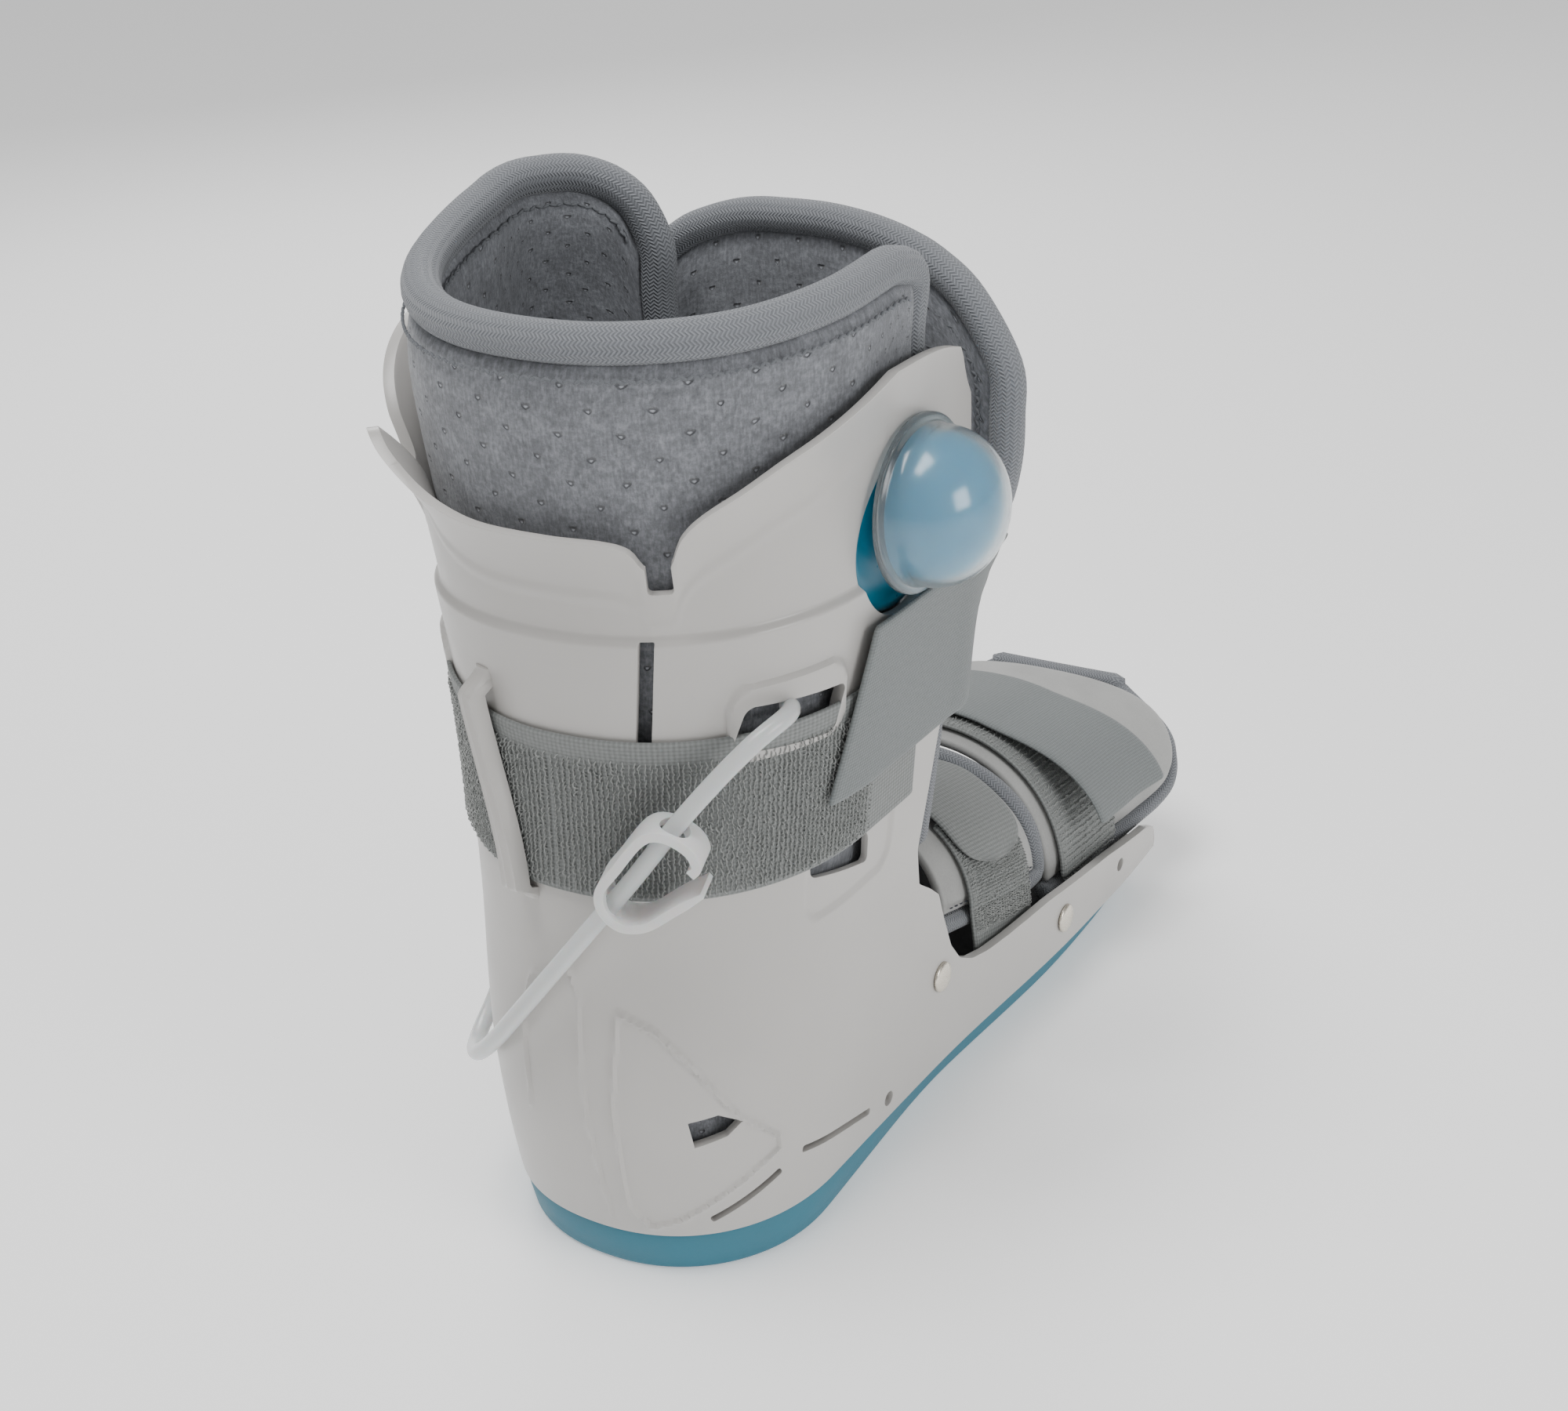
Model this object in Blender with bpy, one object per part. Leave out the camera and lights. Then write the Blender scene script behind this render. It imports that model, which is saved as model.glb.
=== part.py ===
"""Short air walker boot: a moulded shell on a rubber sole, a padded liner with an air pump, and hook straps.

Metres, +Z up. The origin is on the sole's flat underside, below the ankle. +Y points to the toes and
+X to the side that carries the pump. Every piece is one closed solid and one named object.
"""

from collections import namedtuple
from math import atan2, cos, degrees, pi, radians, sin

import bmesh
import bpy
from mathutils import Matrix, Vector

MM = 0.001

# Sole and foot
SOLE_HEIGHT = 13.7 * MM
TOE_SPRING = 6 * MM
HEEL_REACH = 74 * MM
TOE_REACH = 212 * MM
BALL_SPREAD = 5 * MM
SOLE_INSET = 0.5 * MM
SOLE_WAIST_INSET = 5 * MM
SOLE_DRAFT = 2 * MM
BALL_STATION = 118 * MM

# Shell
SHELL_WALL = 3 * MM
PLATE_THICKNESS = 3 * MM
SHELL_HEIGHT = 252 * MM
CALF_HALF_WIDTH = 66 * MM
WALL_END = 197 * MM
BAND_TOP = 196 * MM
BAND_STEP = 1.8 * MM
LIP_FLARE = 5 * MM
LIP_DEPTH = 17 * MM
SECTION_POWER = 2.2

# Openings in the shell
NOTCH_WIDTH = 6.6 * MM
NOTCH_FLOOR = 209 * MM
SLIT_WIDTH = 4.2 * MM
SLIT_LENGTH = 64 * MM
UPPER_SLOT_LENGTH = 31 * MM
UPPER_SLOT_HEIGHT = 13 * MM
LOWER_SLOT_LENGTH = 27 * MM
LOWER_SLOT_HEIGHT = 9 * MM
LOWER_SLOT_DROP = 3.5 * MM
PUMP_OPENING_RADIUS = 24.5 * MM
VENT_SIZE = 8.5 * MM
VENT_TURN = 45
SEAM_VENT_LENGTH = 24 * MM
SEAM_VENT_HEIGHT = 2.2 * MM
REAR_SEAM_TURN, REAR_SEAM_HEIGHT = 53.5, 24.5 * MM
SIDE_SEAM_STATION, SIDE_SEAM_HEIGHT = -18 * MM, 28 * MM
SCREW_HOLE_RADIUS = 2.4 * MM
DRAIN_HOLE_RADIUS = 2.4 * MM

# Liner, flap and their rounded bindings
LINER_THICKNESS = 9 * MM
FLAP_THICKNESS = 8 * MM
BINDING_RADIUS = 5.3 * MM
FLAP_BINDING_RADIUS = 5 * MM
FLAP_HEIGHT = 265.5 * MM
FLAP_FOOT = 92 * MM
FLAP_HALF_WIDTH = 66.5 * MM
LINER_LEAN = 5 * MM

# Straps
STRAP_WIDTH = 46 * MM
STRAP_THICKNESS = 2 * MM
STRAP_MIDDLE = 145 * MM
STRAP_TILT = 5 * MM
CLOSURE_RISE = 15 * MM
CLOSURE_CUT = 3.5
KEEPER_WIDTH = 6.5 * MM
KEEPER_THICKNESS = 4 * MM

# Pump
PUMP_HEIGHT = 212.5 * MM
PUMP_STATION = 14 * MM
PUMP_OPENING_DROP = 6.5 * MM
DOME_RADIUS = 21.5 * MM
DOME_FLANGE = 2.6 * MM
DOME_WALL = 1.4 * MM
BLADDER_THICKNESS = 1.8 * MM

# Air tube and clamp
TUBE_RADIUS = 2.5 * MM
CLAMP_LENGTH = 30 * MM
CLAMP_WIDTH = 11 * MM
CLAMP_STRIP = 2.6 * MM

RIVET_RADIUS = 4.8 * MM
RIVET_RISE = 1.6 * MM

# Foot pads over the toes and the instep
PAD_THICKNESS = 6 * MM
PAD_HALF_WIDTH = 47.2 * MM
PIPING_RADIUS = 3.2 * MM
LOOP_STRAP_PLACE = (132 * MM, 172 * MM)
TOE_STRAP_PLACE = (140 * MM, 186 * MM)
TOE_STRAP_LIFT = 9 * MM
INSTEP_STRAP_PLACE = (72 * MM, 108 * MM)
STRAP_LEG_DROP = 25 * MM
STRAP_LEG_SPREAD = 1.5 * MM

GAP = 0.3 * MM

Section = namedtuple("Section", "height half_width back centre front")
Front = namedtuple("Front", "forward height")
Rim = namedtuple("Rim", "turn height flare")
Outline = namedtuple("Outline", "share width crown edge")


def smooth(t):
    t = min(max(t, 0.0), 1.0)
    return t * t * (3 - 2 * t)


def along(rows, key, value, at):
    """Reads one column of a table at a place between its rows, with a smooth curve through them."""
    keys = [getattr(row, key) for row in rows]
    values = [getattr(row, value) for row in rows]
    if at <= keys[0]:
        return values[0]
    if at >= keys[-1]:
        return values[-1]
    i = max(n for n in range(len(keys) - 1) if keys[n] <= at)
    slopes = []
    for n in range(len(keys)):
        a, b = max(n - 1, 0), min(n + 1, len(keys) - 1)
        rise = values[b] - values[a]
        before = values[n] - values[a]
        after = values[b] - values[n]
        slopes.append(rise / (keys[b] - keys[a]) if before * after > 0 or a == n or b == n else 0.0)
    width = keys[i + 1] - keys[i]
    t = (at - keys[i]) / width
    return (
        values[i] * (1 + 2 * t) * (1 - t) ** 2
        + slopes[i] * width * t * (1 - t) ** 2
        + values[i + 1] * t * t * (3 - 2 * t)
        - slopes[i + 1] * width * t * t * (1 - t)
    )


def spread(low, high, count):
    return [low + (high - low) * n / (count - 1) for n in range(count)]


def material(name, colour, roughness, metallic=0.0, alpha=1.0):
    made = bpy.data.materials.new(name)
    made.use_nodes = True
    shader = made.node_tree.nodes["Principled BSDF"]
    shader.inputs["Base Color"].default_value = (*colour, 1.0)
    shader.inputs["Roughness"].default_value = roughness
    shader.inputs["Metallic"].default_value = metallic
    shader.inputs["Alpha"].default_value = alpha
    return made


def add_object(name, mesh, finish):
    """Turns a finished bmesh into a named object with its faces outwards."""
    bmesh.ops.recalc_face_normals(mesh, faces=mesh.faces)
    if mesh.calc_volume(signed=True) < 0:
        bmesh.ops.reverse_faces(mesh, faces=mesh.faces)
    data = bpy.data.meshes.new(name)
    mesh.to_mesh(data)
    mesh.free()
    made = bpy.data.objects.new(name, data)
    bpy.context.scene.collection.objects.link(made)
    if finish:
        data.materials.append(finish)
    return made


def wall_between(name, near, far, finish):
    """One closed body between two equal grids of points, with a strip round the four edges."""
    mesh = bmesh.new()
    rows, columns = len(near), len(near[0])
    sheets = [[[mesh.verts.new(p) for p in row] for row in grid] for grid in (near, far)]
    for sheet in sheets:
        for i in range(rows - 1):
            for j in range(columns - 1):
                mesh.faces.new((sheet[i][j], sheet[i + 1][j], sheet[i + 1][j + 1], sheet[i][j + 1]))
    rim = [(i, 0) for i in range(rows - 1)]
    rim += [(rows - 1, j) for j in range(columns - 1)]
    rim += [(i, columns - 1) for i in range(rows - 1, 0, -1)]
    rim += [(0, j) for j in range(columns - 1, 0, -1)]
    for (a, b), (c, d) in zip(rim, rim[1:] + rim[:1]):
        mesh.faces.new((sheets[0][a][b], sheets[0][c][d], sheets[1][c][d], sheets[1][a][b]))
    return add_object(name, mesh, finish)


def stack(name, loops, finish):
    """One closed body through a stack of closed loops with equal counts, with flat ends."""
    mesh = bmesh.new()
    rings = [[mesh.verts.new(p) for p in loop] for loop in loops]
    for low, high in zip(rings, rings[1:]):
        for n in range(len(low)):
            m = (n + 1) % len(low)
            mesh.faces.new((low[n], low[m], high[m], high[n]))
    mesh.faces.new(rings[0])
    mesh.faces.new(rings[-1])
    return add_object(name, mesh, finish)


def plug(name, outline, centre, out, up, depth, finish=None):
    """An outline drawn in the plane across `out`, carried both ways along it."""
    out = Vector(out).normalized()
    up = (Vector(up) - out * Vector(up).dot(out)).normalized()
    side = up.cross(out)
    centre = Vector(centre)
    flat = [centre + side * a + up * b for a, b in outline]
    return stack(name, [[p - out * depth for p in flat], [p + out * depth for p in flat]], finish)


def rounded(length, height, radius, lean=0.0, count=4):
    """A rectangle with round corners, leaning sideways by `lean` over its height."""
    corners = []
    for a, b, start in ((1, 1, 0), (-1, 1, 90), (-1, -1, 180), (1, -1, 270)):
        for step in range(count):
            turn = radians(start + 90 * step / (count - 1))
            x = a * (length / 2 - radius) + radius * cos(turn)
            y = b * (height / 2 - radius) + radius * sin(turn)
            corners.append((x + lean * y / height, y))
    return corners


def disc(radius, count=24, squash=1.0):
    return [(radius * cos(2 * pi * n / count), radius * squash * sin(2 * pi * n / count)) for n in range(count)]


def cutter(made):
    made.hide_render = True
    made.display_type = "WIRE"
    return made


def boolean(target, tool, operation="DIFFERENCE"):
    step = target.modifiers.new(tool.name, "BOOLEAN")
    step.operation = operation
    step.object = cutter(tool)
    step.solver = "EXACT"


def tube(name, points, radius, finish, sides=3):
    """A round tube on a chain of points, with closed ends."""
    data = bpy.data.curves.new(name, "CURVE")
    data.dimensions = "3D"
    data.bevel_depth = radius
    data.bevel_resolution = sides
    data.use_fill_caps = True
    spline = data.splines.new("POLY")
    spline.points.add(len(points) - 1)
    for place, point in zip(spline.points, points):
        place.co = (*point, 1.0)
    made = bpy.data.objects.new(name, data)
    bpy.context.scene.collection.objects.link(made)
    data.materials.append(finish)
    return made


def even_curve(points, step=None, count=None):
    """Points at an even pace along the smooth curve through the given ones."""
    points = [Vector(p) for p in points]
    ends = [2 * points[0] - points[1]] + points + [2 * points[-1] - points[-2]]
    dense = []
    for a, b, c, d in zip(ends, ends[1:], ends[2:], ends[3:]):
        for n in range(12):
            t = n / 12
            dense.append(
                0.5 * (2 * b + (c - a) * t + (2 * a - 5 * b + 4 * c - d) * t**2 + (3 * b - a - 3 * c + d) * t**3)
            )
    dense.append(points[-1])
    length = sum((q - p).length for p, q in zip(dense, dense[1:]))
    count = count or max(2, round(length / step))
    made, walked, goal = [dense[0]], 0.0, length / count
    for p, q in zip(dense, dense[1:]):
        leg = (q - p).length
        while leg and walked + leg >= goal and len(made) < count:
            made.append(p.lerp(q, (goal - walked) / leg))
            goal += length / count
        walked += leg
    return made + [dense[-1]]


def beside(path, through, away):
    """The path of an edge moved off the edge, across its own run and the direction through its thickness."""
    moved = []
    for n, (point, direction) in enumerate(zip(path, through)):
        run = path[min(n + 1, len(path) - 1)] - path[max(n - 1, 0)]
        moved.append(point + run.cross(direction).normalized() * away)
    return moved


# Outer face of the shell. Heights are shares of the shell's height, widths of the calf's half width,
# and the back, the place where the round heel begins and the liner's front are shares of the heel's reach.
SECTIONS = (
    Section(height=0.00, half_width=0.71, back=0.91, centre=-0.27, front=0.40),
    Section(height=0.06, half_width=0.76, back=0.96, centre=-0.27, front=0.42),
    Section(height=0.20, half_width=0.79, back=1.00, centre=-0.27, front=0.46),
    Section(height=0.44, half_width=0.86, back=0.92, centre=-0.11, front=0.50),
    Section(height=0.64, half_width=0.92, back=0.87, centre=-0.03, front=0.57),
    Section(height=0.79, half_width=0.98, back=0.90, centre=0.00, front=0.62),
    Section(height=0.90, half_width=1.03, back=0.93, centre=0.02, front=0.61),
    Section(height=1.02, half_width=1.06, back=0.96, centre=0.03, front=0.61),
    Section(height=1.16, half_width=1.08, back=0.98, centre=0.03, front=0.63),
)

# How far the forefoot stands out past the heel's half width, by share of the foot's length
SPREAD = (
    Front(forward=0.0, height=0.0),
    Front(forward=0.25, height=0.15),
    Front(forward=0.55, height=0.9),
    Front(forward=0.75, height=1.0),
    Front(forward=0.93, height=0.7),
    Front(forward=1.0, height=0.2),
)


def section(column, z):
    return along(SECTIONS, "height", column, z / SHELL_HEIGHT)


def side_half_width(y, z):
    """Half width of the outer face, with the forefoot's spread fading out above the foot."""
    upright = section("half_width", z) * CALF_HALF_WIDTH
    low = 1 - smooth((z / SHELL_HEIGHT - 0.12) / 0.3)
    return upright + low * BALL_SPREAD * along(SPREAD, "forward", "height", y / TOE_REACH)


def wall_point(turn, forward, z, outset=0.0, front_end=WALL_END):
    """A point of the shell's outer face: `turn` degrees round the back, or a share forward along a side."""
    centre = section("centre", z) * HEEL_REACH
    depth = section("back", z) * HEEL_REACH + centre
    if forward > 0:
        y = centre + forward * (front_end - centre)
        x = side_half_width(y, z) + outset
        return Vector((x if turn > 0 else -x, y, z))
    power = 2 / SECTION_POWER
    across = abs(sin(radians(turn))) ** power
    behind = abs(cos(radians(turn))) ** power
    half = side_half_width(centre, z) + outset
    x = half * across
    return Vector((x if turn > 0 else -x, centre - (depth + outset) * behind, z))


def outward(turn, z):
    """The horizontal direction straight out of the wall at a turn round the back."""
    here, there = wall_point(turn - 1, 0, z), wall_point(turn + 1, 0, z)
    tangent = (there - here).normalized()
    return Vector((tangent.y, -tangent.x, 0))


# The rim round the back, by degrees from the back's middle: height as a share of the shell's height,
# and how much of the lip's flare it has
RIM = (
    Rim(turn=-90, height=1.035, flare=1.5),
    Rim(turn=-78, height=1.020, flare=1.5),
    Rim(turn=-66, height=0.990, flare=1.4),
    Rim(turn=-57, height=0.950, flare=1.0),
    Rim(turn=-51, height=0.890, flare=0.4),
    Rim(turn=-48, height=0.890, flare=0.8),
    Rim(turn=-45, height=0.935, flare=1.8),
    Rim(turn=-41, height=0.957, flare=2.1),
    Rim(turn=-35, height=0.943, flare=1.8),
    Rim(turn=-26, height=0.915, flare=1.3),
    Rim(turn=-12, height=0.897, flare=1.0),
    Rim(turn=8, height=0.893, flare=1.0),
    Rim(turn=20, height=0.890, flare=1.0),
    Rim(turn=25, height=0.880, flare=0.8),
    Rim(turn=28, height=0.858, flare=0.4),
    Rim(turn=33, height=0.858, flare=0.4),
    Rim(turn=36, height=0.890, flare=0.8),
    Rim(turn=40, height=0.910, flare=1.0),
    Rim(turn=49, height=0.932, flare=1.0),
    Rim(turn=59, height=0.953, flare=0.9),
    Rim(turn=70, height=0.970, flare=0.8),
    Rim(turn=80, height=0.985, flare=0.7),
    Rim(turn=90, height=1.000, flare=0.6),
)

# The shell's front edge seen from the side, from the tip of a wing down to the toe end of the foot wall:
# forward as a share of the toe's reach and height as a share of the shell's
FRONT_EDGE = (
    Front(forward=0.110, height=1.050),
    Front(forward=0.150, height=1.010),
    Front(forward=0.190, height=0.970),
    Front(forward=0.224, height=0.920),
    Front(forward=0.232, height=0.860),
    Front(forward=0.222, height=0.740),
    Front(forward=0.190, height=0.580),
    Front(forward=0.150, height=0.470),
    Front(forward=0.122, height=0.395),
    Front(forward=0.122, height=0.350),
    Front(forward=0.150, height=0.335),
    Front(forward=0.160, height=0.290),
    Front(forward=0.182, height=0.220),
    Front(forward=0.220, height=0.176),
    Front(forward=0.280, height=0.158),
    Front(forward=0.350, height=0.154),
    Front(forward=0.420, height=0.162),
    Front(forward=0.520, height=0.160),
    Front(forward=0.720, height=0.130),
    Front(forward=0.880, height=0.106),
    Front(forward=0.915, height=0.092),
    Front(forward=0.925, height=0.070),
    Front(forward=0.925, height=0.030),
)

ARC_STEPS = 42
SIDE_STEPS = 13
WALL_ROWS = 18


def stations():
    """Columns of the shell's wall, from the left toe end round the heel to the right toe end."""
    forwards = [n / SIDE_STEPS for n in range(1, SIDE_STEPS + 1)]
    left = [(-90.0, share) for share in reversed(forwards)]
    back = [(turn, 0.0) for turn in spread(-90.0, 90.0, ARC_STEPS + 1)]
    return left + back + [(90.0, share) for share in forwards]


def rim_height(turn):
    return SHELL_HEIGHT * along(RIM, "turn", "height", turn)


def lip(turn, z):
    """How far the wall stands out of its plain section: the flared lip, less the step above the band."""
    below = rim_height(turn) - z
    flare = LIP_FLARE * along(RIM, "turn", "flare", turn) * max(0.0, 1 - below / LIP_DEPTH) ** 1.6
    return flare - BAND_STEP * smooth((z - BAND_TOP) / (2.5 * MM) + 0.5)


def wall_rows(turn):
    """Heights of one column: even up to the step over the band, then even up to the rim."""
    edge = BAND_TOP - 1.3 * MM
    top = rim_height(turn)
    low = spread(SOLE_HEIGHT + GAP, edge, WALL_ROWS - 6)
    return low + spread(BAND_TOP + 1.3 * MM, top, 7)


def shell_openings(shell):
    """Cuts the notch, the slit, the slots, the vents and the pump's opening."""
    deep = 12 * MM
    rise = SHELL_HEIGHT - NOTCH_FLOOR + 20 * MM
    at = wall_point(30.5, 0, NOTCH_FLOOR + rise / 2)
    shape = rounded(NOTCH_WIDTH, rise, 1.2 * MM)
    boolean(shell, plug("cut_notch", shape, at, outward(30.5, NOTCH_FLOOR), (0, 0, 1), deep))

    middle = BAND_TOP - SLIT_LENGTH / 2
    at = wall_point(23.5, 0, middle)
    shape = rounded(SLIT_WIDTH, SLIT_LENGTH, 0.6 * MM, lean=SLIT_LENGTH * 0.13)
    boolean(shell, plug("cut_slit", shape, at, outward(23.5, middle), (0, 0, 1), deep))

    for side, label in ((1, "right"), (-1, "left")):
        z = STRAP_MIDDLE + STRAP_WIDTH / 2
        at = wall_point(62 * side, 0, z)
        shape = rounded(UPPER_SLOT_LENGTH, UPPER_SLOT_HEIGHT, 2.5 * MM, lean=4 * MM * side)
        boolean(shell, plug("cut_upper_slot_" + label, shape, at, outward(62 * side, z), (0, 0.08, 1), deep))

        z = STRAP_MIDDLE - STRAP_WIDTH / 2 - LOWER_SLOT_DROP
        at = wall_point(84 * side, 0, z)
        shape = rounded(LOWER_SLOT_LENGTH, LOWER_SLOT_HEIGHT, 2 * MM, lean=-2 * MM * side)
        boolean(shell, plug("cut_lower_slot_" + label, shape, at, (side, 0, 0), (0, 0.28, 1), deep))

        out = outward(REAR_SEAM_TURN * side, REAR_SEAM_HEIGHT)
        run = Vector((-out.y, out.x, 0)) * side
        shape = rounded(SEAM_VENT_LENGTH, SEAM_VENT_HEIGHT, 0.8 * MM)
        at = wall_point(REAR_SEAM_TURN * side, 0, REAR_SEAM_HEIGHT)
        boolean(shell, plug("cut_rear_seam_" + label, shape, at, out, Vector((0, 0, 1)) - run * 0.48, deep / 2))

        y, z = SIDE_SEAM_STATION, SIDE_SEAM_HEIGHT
        shape = rounded(1.5 * SEAM_VENT_LENGTH, SEAM_VENT_HEIGHT, 0.8 * MM)
        at = (side * side_half_width(y, z), y, z)
        boolean(shell, plug("cut_side_seam_" + label, shape, at, (side, 0, 0), (0, 0.25, 1), deep / 2))

        for name, y, z, radius in (
            ("cut_screw_hole_", TOE_REACH * 0.77, SHELL_HEIGHT * 0.094, SCREW_HOLE_RADIUS),
            ("cut_drain_hole_", TOE_REACH * 0.05, SHELL_HEIGHT * 0.083, DRAIN_HOLE_RADIUS),
        ):
            at = (side * side_half_width(y, z), y, z)
            boolean(shell, plug(name + label, disc(radius, 12), at, (side, 0, 0), (0, 0, 1), deep / 2))

    z = SHELL_HEIGHT * 0.2
    at = wall_point(VENT_TURN, 0, z)
    shape = [(-0.9, 0.45), (-0.75, -0.55), (0.35, -0.3), (0.9, 0.15), (0.1, 0.6)]
    shape = [(VENT_SIZE * a, VENT_SIZE * b) for a, b in shape]
    boolean(shell, plug("cut_vent", shape, at, outward(VENT_TURN, z), (0, 0, 1), deep))

    z = PUMP_HEIGHT - PUMP_OPENING_DROP
    y = PUMP_STATION
    at = (side_half_width(y, z), y, z)
    shape = disc(PUMP_OPENING_RADIUS, 28)
    boolean(shell, plug("cut_pump_opening", shape, at, (1, 0, 0), (0, 0, 1), 18 * MM))


def front_trim():
    """Everything behind the front edge, as one slab across the boot."""
    reach = 2.2 * CALF_HALF_WIDTH
    edge = [(TOE_REACH * row.forward, SHELL_HEIGHT * row.height) for row in FRONT_EDGE]
    behind, above, below = -2 * HEEL_REACH, SHELL_HEIGHT * 1.3, -SOLE_HEIGHT
    edge = [(behind, below), (behind, above), (edge[0][0], above)] + edge + [(edge[-1][0], below)]
    return stack("keep_behind_front_edge", [[(x, y, z) for y, z in edge] for x in (-reach, reach)], None)


def foot_outline(z, inset, count_back=24, count_side=10, count_toe=16):
    """A closed outline of the foot at one height: round heel, straight sides and round toe."""
    toe_start = TOE_REACH * 0.80
    right = [wall_point(turn, 0, z, -inset) for turn in spread(0, 90, count_back // 2 + 1)]
    heel_centre = right[-1].y
    for n in range(1, count_side + 1):
        y = heel_centre + (toe_start - heel_centre) * n / count_side
        right.append(Vector((side_half_width(y, z) - inset, y, z)))
    half = right[-1].x
    for n in range(1, count_toe // 2 + 1):
        turn = pi / 2 * n / (count_toe // 2)
        x = half * cos(turn) ** 0.8 if n < count_toe // 2 else 0.0
        right.append(Vector((x, toe_start + (TOE_REACH - inset - toe_start) * sin(turn), z)))
    return right + [Vector((-p.x, p.y, p.z)) for p in reversed(right[1:-1])]


def make_shell(finish):
    columns = stations()
    outer, inner = [], []
    for turn, forward in columns:
        heights = wall_rows(turn)
        outer.append([wall_point(turn, forward, z, lip(turn, z)) for z in heights])
        inner.append([wall_point(turn, forward, z, lip(turn, z) - SHELL_WALL) for z in heights])
    shell = wall_between("shell", outer, inner, finish)
    boolean(shell, front_trim(), "INTERSECT")

    low, high = SOLE_HEIGHT + 2 * GAP, SOLE_HEIGHT + 2 * GAP + PLATE_THICKNESS
    inset = SHELL_WALL / 2
    plate = stack("foot_plate", [foot_outline(low, inset), foot_outline(high, inset)], None)
    boolean(shell, plate, "UNION")

    boolean(shell, keeper_bar(), "UNION")
    shell_openings(shell)
    return shell


def keeper_bar():
    """The moulded bar that the ankle strap passes under, slanted, with a foot at each end."""
    clear = STRAP_THICKNESS + 3 * GAP
    half = STRAP_WIDTH / 2
    low, high = STRAP_MIDDLE - half - 5.5 * MM, STRAP_MIDDLE + half + 13 * MM
    turns = [-9.5, -9.7, -10.3, -14, -17.4, -17.8, -18]
    heights = [low, low + 3.6 * MM, low + 4.6 * MM, STRAP_MIDDLE, high - 8 * MM, high - 5 * MM, high]
    under = [-1 * MM, -1 * MM, clear, clear, clear, -1 * MM, -1 * MM]
    over = [0.5 * MM, clear + 0.6 * KEEPER_THICKNESS] + [clear + KEEPER_THICKNESS] * 3
    over += [clear + 0.6 * KEEPER_THICKNESS, 0.5 * MM]
    near, far = [], []
    for turn, z, inner, outer in zip(turns, heights, under, over):
        width = degrees(KEEPER_WIDTH / 2 / HEEL_REACH)
        near.append([wall_point(turn + d, 0, z, inner) for d in (-width, width)])
        far.append([wall_point(turn + d, 0, z, outer) for d in (-width, width)])
    return wall_between("keeper_bar", near, far, None)


def make_outsole(finish):
    """Rubber sole, flat from heel to ball and lifted at the toe, drawn in below the shell."""
    mesh = bmesh.new()
    rings = []
    for share in (0.0, 0.18, 1.0):
        ring = []
        for p in foot_outline(SOLE_HEIGHT, SOLE_INSET):
            tuck = smooth((p.y / HEEL_REACH + 0.6) / 1.4)
            past_ball = max(0.0, (p.y - BALL_STATION) / (TOE_REACH - BALL_STATION))
            narrow = SOLE_WAIST_INSET * tuck + SOLE_DRAFT * (1 - share) ** 1.2
            behind = SOLE_DRAFT * (1 - share) * smooth(-p.y / HEEL_REACH)
            ahead = SOLE_DRAFT * (1 - share) * smooth(past_ball) + SOLE_WAIST_INSET * smooth(past_ball)
            x = p.x * (1 - narrow / side_half_width(p.y, SOLE_HEIGHT))
            z = SOLE_HEIGHT * share + TOE_SPRING * past_ball**1.7 * (1 - share)
            ring.append(mesh.verts.new((x, p.y + behind - ahead, z)))
        rings.append(ring)
    for low, high in zip(rings, rings[1:]):
        for n in range(len(low)):
            m = (n + 1) % len(low)
            mesh.faces.new((low[n], low[m], high[m], high[n]))
    for ring in (rings[0], rings[-1]):
        ladder_face(mesh, ring)
    return add_object("outsole", mesh, finish)


def ladder_face(mesh, ring):
    """Fills a ring that starts at the heel and is the same left and right, with level strips across."""
    count = len(ring)
    mesh.faces.new((ring[0], ring[1], ring[-1]))
    for n in range(1, count // 2 - 1):
        mesh.faces.new((ring[n], ring[n + 1], ring[count - n - 1], ring[count - n]))
    mesh.faces.new((ring[count // 2 - 1], ring[count // 2], ring[count // 2 + 1]))


# Liner: its plan follows the shell's inner face, then turns round the front on the left side.
LinerRim = namedtuple("LinerRim", "way height")
LINER_RIM = (
    LinerRim(way=-0.83, height=1.075),
    LinerRim(way=-0.80, height=1.112),
    LinerRim(way=-0.75, height=1.136),
    LinerRim(way=-0.67, height=1.147),
    LinerRim(way=-0.56, height=1.145),
    LinerRim(way=-0.40, height=1.112),
    LinerRim(way=-0.20, height=1.088),
    LinerRim(way=0.00, height=1.080),
    LinerRim(way=0.25, height=1.078),
    LinerRim(way=0.45, height=1.084),
    LinerRim(way=0.56, height=1.090),
    LinerRim(way=0.60, height=1.084),
)
LINER_LOW = SOLE_HEIGHT + PLATE_THICKNESS + 5 * GAP
LINER_START, LINER_END = -0.83, 0.60
LINER_RIGHT_END = 21 * MM
LINER_COLUMNS, LINER_ROWS = 46, 10


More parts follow.
